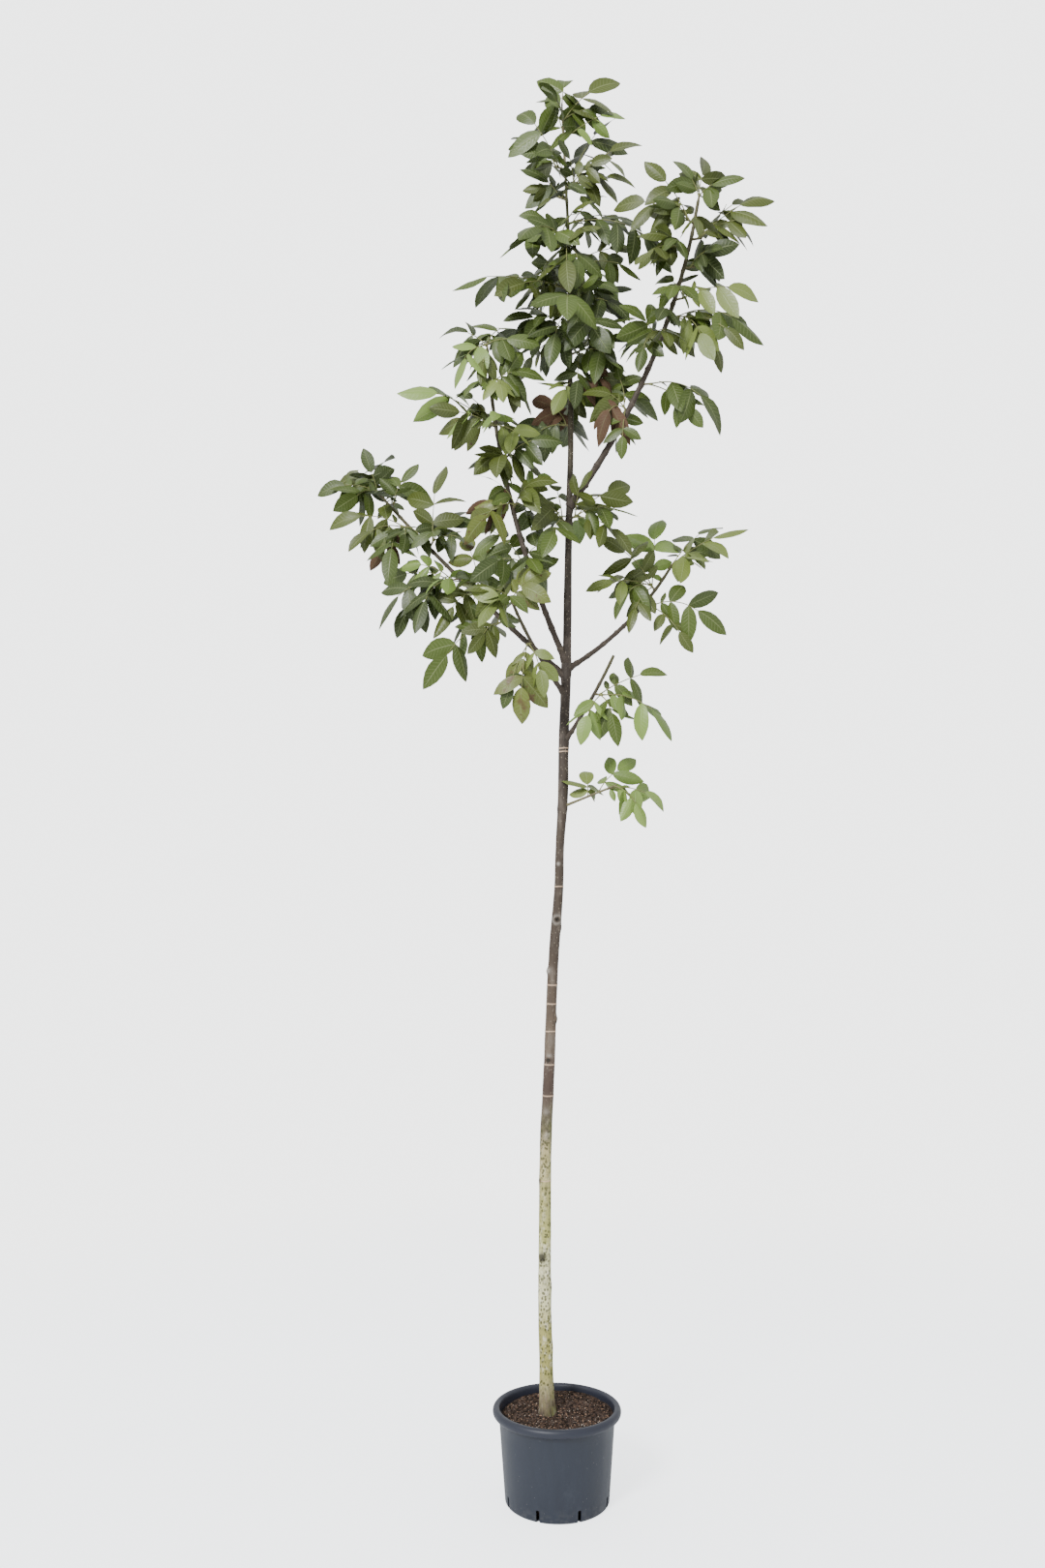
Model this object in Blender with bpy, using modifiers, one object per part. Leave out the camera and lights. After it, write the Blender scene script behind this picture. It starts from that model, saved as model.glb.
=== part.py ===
"""Young walnut tree in a round nursery pot.

The pot stands on z = 0 with its axis on the world z axis. The trunk rises from the
soil, sways a little and carries six boughs; masses of foliage grow on the boughs and
on the upper trunk. Metres, +Z up.
"""
import bmesh
import bpy
import math
import random
from collections import namedtuple
from mathutils import Vector
from mathutils.bvhtree import BVHTree

CLEAR = 0.0003                  # gap kept between neighbouring solids

# Pot: a turned plastic shell with a rolled rim and drain slots round its foot
POT_HEIGHT = 0.262
POT_FOOT_RADIUS = 0.151
POT_TOP_RADIUS = 0.167          # outer wall just under the rim
POT_WALL = 0.003
POT_FLOOR = 0.004
RIM_RADIUS = 0.1905             # outermost point of the rolled rim
RIM_LIP = 0.170                 # its inner edge
RIM_DEPTH = 0.025               # from its top to its underside
FOOT_ROUND = 0.006              # rounding where the wall meets the floor
POT_STEPS = 32
DRAIN_SLOTS = 8
DRAIN_WIDTH = 0.008
DRAIN_HEIGHT = 0.026
DRAIN_DEPTH = 0.022

# Soil: fills the pot to a little below its rim
SOIL_TOP = 0.234

# Trunk: height, sway to the right, radius; it stands this far behind the pot's axis
TRUNK_DEPTH = 0.010
TRUNK_LINE = (
    (0.234, -0.030, 0.0275), (0.265, -0.030, 0.0240), (0.330, -0.031, 0.0215), (0.540, -0.035, 0.0198),
    (0.790, -0.034, 0.0184), (1.040, -0.030, 0.0178), (1.210, -0.021, 0.0170), (1.440, -0.012, 0.0150),
    (1.590, -0.004, 0.0146), (1.790, 0.012, 0.0140), (1.940, 0.017, 0.0134), (2.050, 0.025, 0.0158),
    (2.270, 0.030, 0.0165), (2.490, 0.040, 0.0145), (2.740, 0.045, 0.0128), (2.990, 0.050, 0.0112),
    (3.290, 0.058, 0.0092), (3.590, 0.056, 0.0082), (3.840, 0.057, 0.0065), (4.040, 0.052, 0.0052),
    (4.260, 0.043, 0.0040),
)

# Boughs: height on the trunk, azimuth from +X towards +Y, rise at each end, length, radii
Bough = namedtuple("Bough", "height azimuth rise_low rise_high length base_radius tip_radius")
BOUGHS = {
    "bough_spur": Bough(2.255, -40, 46, 58, 0.325, 0.0062, 0.0036),
    "bough_middle": Bough(2.495, 30, 32, 56, 0.600, 0.0078, 0.0038),
    "bough_right": Bough(3.040, -20, 51, 80, 1.090, 0.0105, 0.0042),
    "bough_front": Bough(2.410, 215, 44, 61, 0.335, 0.0068, 0.0036),
    "bough_left": Bough(2.470, 150, 42, 48, 1.075, 0.0088, 0.0038),
    "bough_inner": Bough(2.515, 200, 64, 86, 1.060, 0.0090, 0.0038),
}
BOUGH_STEPS = 9
LIMB_SIDES = 2                  # bevel resolution: 8 sides on a limb

# Foliage: each mass is a short stem on its host limb, carrying compound leaves.
# A leaf is (azimuth, rise, reach, droop): the heading and length of the line from its
# foot to its tip, and the angle that its stalk bends down by on the way.
Mass = namedtuple("Mass", "host place stem leaves")
MASSES = {
    "leader_tip": Mass("trunk", 4.26, 0.22, ((205, 60, .19, 15), (-10, 38, .23, 20), (75, 66, .18, 15))),
    "leader_left_1": Mass("trunk", 4.24, 0.03, ((200, 50, .28, 20), (160, 44, .24, 25))),
    "leader_right_1": Mass("trunk", 4.17, 0.03, ((25, 57, .36, 25), (-15, 26, .27, 20))),
    "leader_left_2": Mass("trunk", 4.13, 0.03, ((205, 26, .16, 25), (140, 30, .16, 30))),
    "leader_right_2": Mass("trunk", 4.04, 0.03, ((-10, -30, .38, 50), (20, 8, .26, 30))),
    "leader_left_3": Mass("trunk", 3.99, 0.03, ((195, -28, .24, 35), (145, 41, .18, 20))),
    "leader_front_1": Mass("trunk", 3.94, 0.03, (
        (290, -60, .26, 40), (238, -22, .30, 45), (265, -62, .30, 30))),
    "leader_back_1": Mass("trunk", 3.88, 0.03, (
        (25, -6, .22, 40), (135, 20, .24, 40), (70, 42, .28, 35))),
    "leader_left_4": Mass("trunk", 3.80, 0.04, (
        (195, -6, .38, 25), (215, -24, .26, 35), (110, 2, .26, 40))),
    "leader_right_3": Mass("trunk", 3.75, 0.04, ((-25, -32, .21, 40), (30, 32, .19, 30))),
    "leader_front_2": Mass("trunk", 3.69, 0.03, (
        (240, -58, .28, 45), (268, -28, .34, 50), (305, -52, .26, 45))),
    "leader_left_5": Mass("trunk", 3.64, 0.03, (
        (200, 12, .21, 30), (165, 0, .27, 35), (115, -10, .24, 45))),
    "leader_right_4": Mass("trunk", 3.57, 0.04, (
        (-15, 3, .20, 35), (-40, -38, .21, 40), (70, 25, .28, 40))),
    "leader_right_5": Mass("trunk", 3.46, 0.03, (
        (-20, -12, .19, 40), (30, -26, .18, 50), (95, 5, .34, 40))),
    "leader_back_2": Mass("trunk", 3.32, 0.03, (
        (205, -36, .19, 40), (135, 18, .20, 40), (80, 12, .32, 40))),
    "leader_low_right": Mass("trunk", 3.00, 0.02, ((-15, -5, .21, 45), (20, 27, .24, 30))),
    "leader_low_left": Mass("trunk", 2.98, 0.02, ((215, 14, .16, 40),)),
    "right_tip": Mass("bough_right", 1.00, 0.02, (
        (205, 54, .16, 25), (20, 72, .18, 15), (-35, 2, .15, 30))),
    "right_upper_left": Mass("bough_right", 0.93, 0.02, ((195, 43, .25, 20), (170, 17, .27, 30))),
    "right_upper_right": Mass("bough_right", 0.88, 0.03, ((-10, 32, .29, 15), (20, 14, .26, 45))),
    "right_mid_left": Mass("bough_right", 0.84, 0.02, ((205, 10, .16, 30), (145, 2, .17, 40))),
    "right_mid_right": Mass("bough_right", 0.79, 0.03, ((-35, 12, .16, 45), (45, 4, .17, 40))),
    "right_out": Mass("bough_right", 0.69, 0.03, ((-10, -7, .26, 40), (150, 43, .18, 35))),
    "right_low_right": Mass("bough_right", 0.63, 0.03, ((-10, -20, .31, 60), (-50, -58, .24, 50))),
    "right_low_left": Mass("bough_right", 0.56, 0.03, (
        (225, 26, .16, 35), (135, 12, .17, 40), (45, 18, .20, 30))),
    "right_pendant": Mass("bough_right", 0.42, 0.02, ((-15, -36, .30, 60),)),
    "right_inner": Mass("bough_right", 0.33, 0.02, (
        (200, 22, .16, 30), (145, 68, .20, 30), (75, 30, .28, 40))),
    "middle_tip": Mass("bough_middle", 1.00, 0.02, (
        (-10, 25, .27, 15), (20, 42, .27, 15), (-50, -8, .16, 30))),
    "middle_inner": Mass("bough_middle", 0.80, 0.02, (
        (65, 72, .30, -10), (195, 35, .25, 35), (165, 8, .20, 45), (215, -40, .20, 50))),
    "middle_pendant": Mass("bough_middle", 0.68, 0.02, ((-10, -29, .28, 60),)),
    "spur": Mass("bough_spur", 0.58, 0.02, (
        (-10, 17, .24, 20), (-50, -70, .18, 40), (-15, -35, .29, 45))),
    "low_twig": Mass("trunk", 2.05, 0.17, ((95, 62, .14, 15), (-10, -15, .24, 45), (-25, -52, .19, 40))),
    "front_tip": Mass("bough_front", 1.00, 0.02, (
        (205, 16, .16, 40), (-35, 32, .17, 35), (225, -32, .17, 40))),
    "front_pendant": Mass("bough_front", 0.60, 0.02, ((250, -76, .27, 20),)),
    "left_tip": Mass("bough_left", 1.00, 0.03, (
        (190, -2, .22, 35), (155, 38, .22, 25), (60, 72, .19, 15), (215, -39, .18, 45))),
    "left_top": Mass("bough_left", 0.93, 0.02, ((-30, 52, .18, 35), (70, 40, .22, 35))),
    "left_out": Mass("bough_left", 0.82, 0.02, (
        (190, 0, .27, 40), (205, -28, .23, 45), (250, -60, .26, 50))),
    "left_up": Mass("bough_left", 0.70, 0.03, ((-60, 80, .29, 15), (35, 40, .21, 30))),
    "left_fall": Mass("bough_left", 0.53, 0.03, (
        (195, -38, .33, 50), (235, -50, .29, 50), (165, 2, .28, 45))),
    "left_low": Mass("bough_left", 0.43, 0.02, (
        (205, -50, .21, 50), (135, 62, .26, 30), (-25, 52, .22, 35))),
    "left_pendant": Mass("bough_left", 0.30, 0.02, ((195, -44, .34, 55), (125, -14, .17, 40))),
    "inner_tip": Mass("bough_inner", 1.00, 0.03, (
        (170, 22, .18, 25), (220, -52, .22, 40), (-20, -10, .17, 35), (60, 38, .22, 25))),
    "inner_top_right": Mass("bough_inner", 0.90, 0.02, ((-25, 0, .16, 35), (35, -18, .17, 40))),
    "inner_left": Mass("bough_inner", 0.76, 0.02, (
        (190, 16, .32, 30), (205, 0, .21, 35), (165, -4, .19, 45))),
    "inner_right": Mass("bough_inner", 0.65, 0.02, (
        (-25, 10, .20, 40), (30, -4, .16, 45), (225, -35, .15, 40))),
    "inner_low": Mass("bough_inner", 0.50, 0.02, (
        (-50, 24, .17, 35), (215, -42, .23, 50), (45, -28, .19, 45))),
    "inner_base": Mass("bough_inner", 0.33, 0.02, (
        (165, 38, .26, 35), (215, -25, .19, 45), (40, -28, .17, 40))),
}
FLAT = math.radians(0.5)         # faces closer to one plane than this are merged
STEM_RADIUS = 0.0034
STEM_LEAN = 0.45                # how far a stem leans towards its limb's own direction
STALK_RADIUS = 0.0017
STALK_STEPS = 3
SMALL_LEAF = 0.24               # leaflets are never sized for a shorter leaf than this
LEAF_SIZE = 0.30                # leaflets stop growing with a leaf's reach here
LONG_LEAF = 0.35                # a leaf that reaches further has a third pair
PAIR_PLACES = ((0.40, 0.78), (0.30, 0.57, 0.84))    # along the stalk, for short and long leaves
PAIR_SIZES = (0.28, 0.34)       # share of the leaf's size in its first pair's length and in the others'
PAIR_LENGTH = 0.022             # and the part of it that is the same on every leaf
END_SIZE = 0.36
END_LENGTH = 0.018
TIP_ROOM = 0.012                # a stalk is shorter by this, as its end leaflet starts a little sideways
TIP_FALL = 14                   # degrees that an end leaflet falls below its stalk's last heading
LEAFLET_THICKNESS = 0.022       # of its length
LEAFLET_WAIST = 0.50            # where along it a leaflet is widest
LEAFLET_SPREAD = 1.15           # a four-cornered blade as broad as the oval one it stands for
UP = Vector((0.0, 0.0, 1.0))
LIGHT = (0.0, -0.94, 0.34)      # leaves turn their faces towards this side
LOW_TWIG_HEADING = (-25, 18)
SHADES = {
    "foliage": (0.10, 0.20, 0.045), "bark": (0.13, 0.10, 0.085), "plastic": (0.035, 0.042, 0.055),
    "soil": (0.07, 0.045, 0.03),
}


def clear_scene():
    """Remove whatever the open file holds."""
    for item in list(bpy.data.objects):
        bpy.data.objects.remove(item, do_unlink=True)


def new_collection(name):
    """Return a new collection linked to the scene."""
    group = bpy.data.collections.new(name)
    bpy.context.scene.collection.children.link(group)
    return group


def new_material(name, shade, roughness):
    """Return a plain Principled material."""
    material = bpy.data.materials.new(name)
    material.use_nodes = True
    shader = material.node_tree.nodes["Principled BSDF"]
    shader.inputs["Base Color"].default_value = (*shade, 1.0)
    shader.inputs["Roughness"].default_value = roughness
    shader.inputs["Metallic"].default_value = 0.0
    return material


def add_object(name, data, group):
    """Link a new object holding the given mesh or curve."""
    item = bpy.data.objects.new(name, data)
    group.objects.link(item)
    return item


def heading(azimuth, rise):
    """Unit vector for an azimuth from +X towards +Y and a rise above level, in degrees."""
    turn, lift = math.radians(azimuth), math.radians(rise)
    return Vector((math.cos(lift) * math.cos(turn), math.cos(lift) * math.sin(turn), math.sin(lift)))


def trunk_path():
    """Points and radii up the trunk."""
    return [(Vector((sway, TRUNK_DEPTH, height)), radius) for height, sway, radius in TRUNK_LINE]


def bough_path(bough, steps=BOUGH_STEPS):
    """Points and radii along a bough, which bends evenly from its low rise to its high one."""
    path = [(place_on("trunk", bough.height)[0], bough.base_radius)]
    for step in range(steps):
        middle = (step + 0.5) / steps
        rise = bough.rise_low + (bough.rise_high - bough.rise_low) * middle
        point = path[-1][0] + heading(bough.azimuth, rise) * (bough.length / steps)
        radius = bough.base_radius + (bough.tip_radius - bough.base_radius) * (step + 1) / steps
        path.append((point, radius))
    return path


def place_on(host, place):
    """Point, direction and radius at a height on the trunk or a share of a bough's length."""
    if host == "trunk":
        path = trunk_path()
        heights = [height for height, _, _ in TRUNK_LINE]
        step = next(i for i in range(len(path) - 1) if place <= heights[i + 1])
        share = (place - heights[step]) / (heights[step + 1] - heights[step])
    else:
        path = bough_path(BOUGHS[host])
        step = min(int(place * BOUGH_STEPS), BOUGH_STEPS - 1)
        share = place * BOUGH_STEPS - step
    (low, thick), (high, thin) = path[step], path[step + 1]
    return low.lerp(high, share), (high - low).normalized(), thick + (thin - thick) * share


def limb_mesh(path, grow=0.0):
    """Closed tapering tube through a path of points and radii, as a welded mesh."""
    curve = bpy.data.curves.new("limb", "CURVE")
    curve.dimensions = "3D"
    curve.bevel_depth = 1.0
    curve.bevel_resolution = LIMB_SIDES
    curve.use_fill_caps = True
    spline = curve.splines.new("POLY")
    spline.points.add(len(path) - 1)
    for target, (point, radius) in zip(spline.points, path):
        target.co = (*point, 1.0)
        target.radius = radius + grow
    guide = add_object("limb", curve, bpy.context.scene.collection)
    evaluated = guide.evaluated_get(bpy.context.evaluated_depsgraph_get())
    mesh = bpy.data.meshes.new_from_object(evaluated)
    bpy.data.objects.remove(guide, do_unlink=True)
    bpy.data.curves.remove(curve)
    work = bmesh.new()
    work.from_mesh(mesh)
    bmesh.ops.remove_doubles(work, verts=work.verts, dist=1e-6)
    bmesh.ops.recalc_face_normals(work, faces=work.faces)
    work.to_mesh(mesh)
    work.free()
    return mesh


def turned(name, profile, steps, group):
    """Solid of revolution about z from a profile of (radius, height) points."""
    mesh = bpy.data.meshes.new(name)
    mesh.from_pydata([(radius, 0.0, height) for radius, height in profile],
                     [(i, i + 1) for i in range(len(profile) - 1)], [])
    item = add_object(name, mesh, group)
    screw = item.modifiers.new("turn", "SCREW")
    screw.axis = "Z"
    screw.steps = screw.render_steps = steps
    screw.use_merge_vertices = True
    screw.merge_threshold = 0.00005
    return item


def arc(centre_r, centre_z, radius_r, radius_z, start, end, steps):
    """Points along an elliptic arc, angles in degrees from outward, upward positive."""
    points = []
    for step in range(steps + 1):
        angle = math.radians(start + (end - start) * step / steps)
        points.append((centre_r + radius_r * math.cos(angle), centre_z + radius_z * math.sin(angle)))
    return points


def make_pot(group, cutters, finish):
    """Turned shell with a rolled rim; slots are cut where its wall meets its floor."""
    rim_foot = POT_HEIGHT - RIM_DEPTH
    lip_height = POT_HEIGHT - 0.005
    crown = (RIM_RADIUS + RIM_LIP) / 2
    profile = [(0.0, POT_FLOOR), (POT_FOOT_RADIUS - POT_WALL, POT_FLOOR)]
    profile += [(POT_TOP_RADIUS - POT_WALL, rim_foot), (RIM_LIP, lip_height)]
    profile += [((RIM_LIP + crown) / 2, POT_HEIGHT - 0.001), (crown, POT_HEIGHT)]
    profile += arc(crown, POT_HEIGHT - RIM_DEPTH / 2, RIM_RADIUS - crown, RIM_DEPTH / 2, 60, -75, 5)
    profile += [(POT_TOP_RADIUS, rim_foot)]
    profile += arc(POT_FOOT_RADIUS - FOOT_ROUND, FOOT_ROUND, FOOT_ROUND, FOOT_ROUND, 0, -90, 3)
    profile += [(0.0, 0.0)]
    pot = turned("pot", profile, POT_STEPS, group)
    pot.data.materials.append(finish)
    for number in range(DRAIN_SLOTS):
        turn = 2 * math.pi * (number + 0.5) / DRAIN_SLOTS
        bpy.ops.mesh.primitive_cube_add(size=1.0)
        slot = bpy.context.object
        slot.name = f"drain_slot_{number + 1}"
        slot.scale = (DRAIN_DEPTH, DRAIN_WIDTH, DRAIN_HEIGHT * 2)
        slot.rotation_euler = (0.0, 0.0, turn)
        slot.location = (POT_FOOT_RADIUS * math.cos(turn), POT_FOOT_RADIUS * math.sin(turn), 0.0)
        for owner in list(slot.users_collection):
            owner.objects.unlink(slot)
        cutters.objects.link(slot)
        slot.hide_render = True
        slot.display_type = "WIRE"
        cut = pot.modifiers.new(slot.name, "BOOLEAN")
        cut.operation = "DIFFERENCE"
        cut.object = slot
    return pot


def make_soil(group, finish):
    """Plug of soil that fills the pot's inside to below the rim."""
    wall_slope = (POT_TOP_RADIUS - POT_FOOT_RADIUS) / (POT_HEIGHT - RIM_DEPTH - POT_FLOOR)
    foot = POT_FOOT_RADIUS - POT_WALL - CLEAR * 1.2
    low = POT_FLOOR + CLEAR
    crumble = 0.004
    top = foot + wall_slope * (SOIL_TOP - crumble - low)
    profile = [(0.0, SOIL_TOP), (top - crumble, SOIL_TOP), (top, SOIL_TOP - crumble)]
    profile += [(foot, low), (0.0, low)]
    soil = turned("soil", profile, POT_STEPS, group)
    soil.data.materials.append(finish)
    return soil


def make_trunk(group, finish):
    """Tapering, swaying trunk from its flat cut at the soil to its tip."""
    path = trunk_path()
    path[0] = (path[0][0] + Vector((0.0, 0.0, CLEAR)), path[0][1])
    trunk = add_object("trunk", limb_mesh(path), group)
    trunk.data.materials.append(finish)
    return trunk


def make_cutter(name, path, cutters):
    """Limb grown by the clearance, for trimming what meets it."""
    cutter = add_object(name + "_cutter", limb_mesh(path, CLEAR), cutters)
    cutter.hide_render = True
    cutter.display_type = "WIRE"
    return cutter


def trim(item, cutter):
    """Cut an object by a cutter and keep the result in its mesh."""
    cut = item.modifiers.new("trim", "BOOLEAN")
    cut.operation = "DIFFERENCE"
    cut.solver = "MANIFOLD"
    cut.object = cutter
    keep_evaluated(item)


def keep_evaluated(item):
    """Replace an object's mesh by what its modifiers make, and drop the modifiers."""
    evaluated = item.evaluated_get(bpy.context.evaluated_depsgraph_get())
    mesh = bpy.data.meshes.new_from_object(evaluated)
    old = item.data
    item.modifiers.clear()
    item.data = mesh
    bpy.data.meshes.remove(old)


def keep_main_shell(item):
    """Keep only the largest shell: loose scraps and sealed hollows go."""
    work = bmesh.new()
    work.from_mesh(item.data)
    unseen = set(work.verts)
    shells = []
    while unseen:
        start = unseen.pop()
        shell, front = {start}, [start]
        while front:
            vert = front.pop()
            for edge in vert.link_edges:
                other = edge.other_vert(vert)
                if other not in shell:
                    shell.add(other)
                    front.append(other)
        unseen -= shell
        shells.append(shell)
    shells.sort(key=len, reverse=True)
    for shell in shells[1:]:
        bmesh.ops.delete(work, geom=list(shell), context="VERTS")
    lighter = work.copy()
    bmesh.ops.dissolve_limit(lighter, angle_limit=FLAT, verts=lighter.verts, edges=lighter.edges)
    for choice in (lighter, work):
        bmesh.ops.triangulate(choice, faces=choice.faces)
        if all(len(edge.link_faces) == 2 for edge in choice.edges):
            choice.to_mesh(item.data)
            break
    lighter.free()
    work.free()


def twig_mesh(path):
    """Three-sided tapering twig through points and radii, closed at both ends."""
    work = bmesh.new()
    along = (path[-1][0] - path[0][0]).normalized()
    across = along.orthogonal().normalized()
    rings = []
    for step, (point, radius) in enumerate(path):
        low = path[max(step - 1, 0)][0]
        high = path[min(step + 1, len(path) - 1)][0]
        along = (high - low).normalized()
        across = (across - along * across.dot(along)).normalized()
        up = along.cross(across)
        ring = []
        for side in range(3):
            angle = 2 * math.pi * side / 3
            ring.append(work.verts.new(point + (across * math.cos(angle) + up * math.sin(angle)) * radius))
        rings.append(ring)
    for low, high in zip(rings, rings[1:]):
        for side in range(3):
            after = (side + 1) % 3
            work.faces.new((low[side], low[after], high[after], high[side]))
    work.faces.new(tuple(reversed(rings[0])))
    work.faces.new(rings[-1])
    return finished_mesh(work, "twig")


def finished_mesh(work, name):
    """Turn a bmesh into a mesh with its faces pointing outwards."""
    bmesh.ops.recalc_face_normals(work, faces=work.faces)
    mesh = bpy.data.meshes.new(name)
    work.to_mesh(mesh)
    work.free()
    return mesh


Leaflet = namedtuple("Leaflet", "foot along normal length width")


def leaflet_mesh(leaflet):
    """Six-faced blade: flat below, ridged above, with its root sunk in the stalk."""
    foot = leaflet.foot - leaflet.along * STALK_RADIUS * 0.2
    across = leaflet.normal.cross(leaflet.along) * leaflet.width * LEAFLET_SPREAD * 0.5
    waist = leaflet.foot + leaflet.along * leaflet.length * LEAFLET_WAIST
    work = bmesh.new()
    root = work.verts.new(foot)
    tip = work.verts.new(leaflet.foot + leaflet.along * leaflet.length)
    left = work.verts.new(waist + across)
    right = work.verts.new(waist - across)
    ridge = work.verts.new(waist + leaflet.normal * leaflet.length * LEAFLET_THICKNESS)
    for edge in ((root, left), (left, tip), (tip, right), (right, root)):
        work.faces.new((*edge, ridge))
    work.faces.new((left, root, right))
    work.faces.new((right, tip, left))
    return finished_mesh(work, "leaflet")


def stalk_path(foot, azimuth, rise, length, droop):
    """Points and headings along a leaf stalk that bends down evenly."""
    points, headings = [foot], []
    for step in range(STALK_STEPS):
        along = heading(azimuth, rise + droop * (0.5 - (step + 0.5) / STALK_STEPS))
        headings.append(along)
        points.append(points[-1] + along * (length / STALK_STEPS))
    headings.append(heading(azimuth, rise - droop * 0.5))
    return points, headings


def grow_leaf(dice, foot, leaf):
    """Stalk and leaflets of one compound leaf: pairs along the stalk and one at its end."""
    azimuth, rise, reach, droop = leaf
    azimuth += dice.uniform(-5, 5)
    rise += dice.uniform(-4, 4)
    size = min(max(reach, SMALL_LEAF), LEAF_SIZE)
    places = PAIR_PLACES[1 if reach > LONG_LEAF else 0]
    rise += (droop * 0.5 + TIP_FALL) * size * END_SIZE / reach
    points, headings = stalk_path(foot, azimuth, rise, reach - size * END_SIZE - TIP_ROOM, droop)
    level = heading(azimuth + 90, 0)
    turn = dice.uniform(0.6, 1.2)
    lean = math.radians(dice.uniform(-18, 18))

    def stalk_frame(share):
        step = min(int(share * STALK_STEPS), STALK_STEPS - 1)
        along = headings[step]
        upright = along.cross(level).normalized()
        light = Vector(LIGHT)
        tilt = math.atan2(-light.dot(level), light.dot(upright)) * turn + lean
        normal = upright * math.cos(tilt) - level * math.sin(tilt)
        side = normal.cross(along)
        return points[step].lerp(points[step + 1], share * STALK_STEPS - step), along, side, normal

    leaflets = []
    for number, share in enumerate(places):
        point, along, side, normal = stalk_frame(share)
        for hand in (1, -1):
            spread = math.radians(dice.uniform(54, 74))
            hang = math.radians(dice.uniform(-8, 40))
            down = (normal + UP).normalized()
            outward = (side * hand * math.cos(hang) - down * math.sin(hang)).normalized()
            lead = (along * math.cos(spread) + outward * math.sin(spread)).normalized()
            length = (size * PAIR_SIZES[min(number, 1)] + PAIR_LENGTH) * dice.uniform(0.90, 1.12)
            roll = math.radians(dice.uniform(-24, 24))
            face = (normal - lead * normal.dot(lead)).normalized()
            face = face * math.cos(roll) + lead.cross(face) * math.sin(roll)
            leaflets.append(Leaflet(point, lead, face, length, length * dice.uniform(0.45, 0.55)))
    point, along, side, normal = stalk_frame(1.0)
    length = (size * END_SIZE + END_LENGTH) * dice.uniform(0.95, 1.08)
    lead = (along - normal * dice.uniform(0.0, 0.25)).normalized()
    face = (normal - lead * normal.dot(lead)).normalized()
    leaflets.append(Leaflet(point, lead, face, length, length * dice.uniform(0.46, 0.56)))
    return points, leaflets


def mass_stem(name, mass):
    """Axis point, surface point and end of a mass's stem; at a limb's tip it carries straight on."""
    start, limb, radius = place_on(mass.host, mass.place)
    at_tip = mass.place == (TRUNK_LINE[-1][0] if mass.host == "trunk" else 1.0)
    if at_tip:
        start = start + limb * CLEAR
        return start, start, start + limb * mass.stem, True
    if name == "low_twig":
        along = heading(*LOW_TWIG_HEADING)
    else:
        leads = [heading(leaf[0], leaf[1]) for leaf in mass.leaves]
        side = sum((lead - limb * lead.dot(limb) for lead in leads), Vector())
        if side.length < 0.5:
            side = leads[0] - limb * leads[0].dot(limb)
        along = (side.normalized() + limb * STEM_LEAN).normalized()
    root = start + along * radius
    return start, root, root + along * mass.stem, False


def tree_of(mesh):
    """Search tree over a mesh's faces."""
    work = bmesh.new()
    work.from_mesh(mesh)
    tree = BVHTree.FromBMesh(work)
    work.free()
    return tree


def grow_mass(name, mass, group, limb_trees, mass_trees, finish):
    """One solid of foliage: a stem, leaf stalks and leaflets joined by one union."""
    dice = random.Random(name)
    start, root, end, at_tip = mass_stem(name, mass)
    stem = add_object("foliage_" + name, twig_mesh([(start, STEM_RADIUS), (end, STEM_RADIUS * 0.8)]), group)
    pieces = bpy.data.collections.new("pieces")
    bpy.context.scene.collection.children.link(pieces)
    taken = list(limb_trees.values()) + mass_trees

    def touches(mesh):
        tree = tree_of(mesh)
        return any(tree.overlap(other) for other in taken)

    for number, leaf in enumerate(mass.leaves):
        step = 1.0 if len(mass.leaves) == 1 else number / (len(mass.leaves) - 1)
        share = 0.45 + 0.55 * step if mass.stem > 0.1 else 0.65 + 0.30 * step
        points, leaflets = grow_leaf(dice, root.lerp(end, share), leaf)
        radii = [STALK_RADIUS * (1.0 - 0.4 * i / STALK_STEPS) for i in range(STALK_STEPS + 1)]
        stalk = twig_mesh(list(zip(points, radii)))
        if touches(stalk):
            bpy.data.meshes.remove(stalk)
            continue
        add_object("stalk", stalk, pieces)
        for leaflet in leaflets:
            blade = leaflet_mesh(leaflet)
            if touches(blade):
                bpy.data.meshes.remove(blade)
            else:
                add_object("leaflet", blade, pieces)
    union = stem.modifiers.new("union", "BOOLEAN")
    union.operation = "UNION"
    union.operand_type = "COLLECTION"
    union.collection = pieces
    union.solver = "MANIFOLD"
    keep_evaluated(stem)
    for piece in list(pieces.objects):
        mesh = piece.data
        bpy.data.objects.remove(piece, do_unlink=True)
        bpy.data.meshes.remove(mesh)
    bpy.data.collections.remove(pieces)
    return stem, at_tip


def main():
    clear_scene()
    group = new_collection("walnut_tree")
    cutters = new_collection("cutters")
    foliage = new_material("foliage", SHADES["foliage"], 0.55)
    bark = new_material("bark", SHADES["bark"], 0.80)
    plastic = new_material("plastic", SHADES["plastic"], 0.50)
    earth = new_material("soil", SHADES["soil"], 0.95)
    make_pot(group, cutters, plastic)
    make_soil(group, earth)
    make_trunk(group, bark)
    trimmers = {"trunk": make_cutter("trunk", trunk_path(), cutters)}
    for name, bough in BOUGHS.items():
        limb = add_object(name, limb_mesh(bough_path(bough)), group)
        limb.data.materials.append(bark)
        trim(limb, trimmers["trunk"])
        keep_main_shell(limb)
        trimmers[name] = make_cutter(name, bough_path(bough), cutters)
    limb_trees = {name: tree_of(cutter.data) for name, cutter in trimmers.items()}
    mass_trees = []
    for name, mass in MASSES.items():
        item, at_tip = grow_mass(name, mass, group, limb_trees, mass_trees, foliage)
        if not at_tip:
            trim(item, trimmers[mass.host])
        keep_main_shell(item)
        item.data.materials.clear()
        item.data.materials.append(foliage)
        mass_trees.append(tree_of(item.data))


main()
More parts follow.
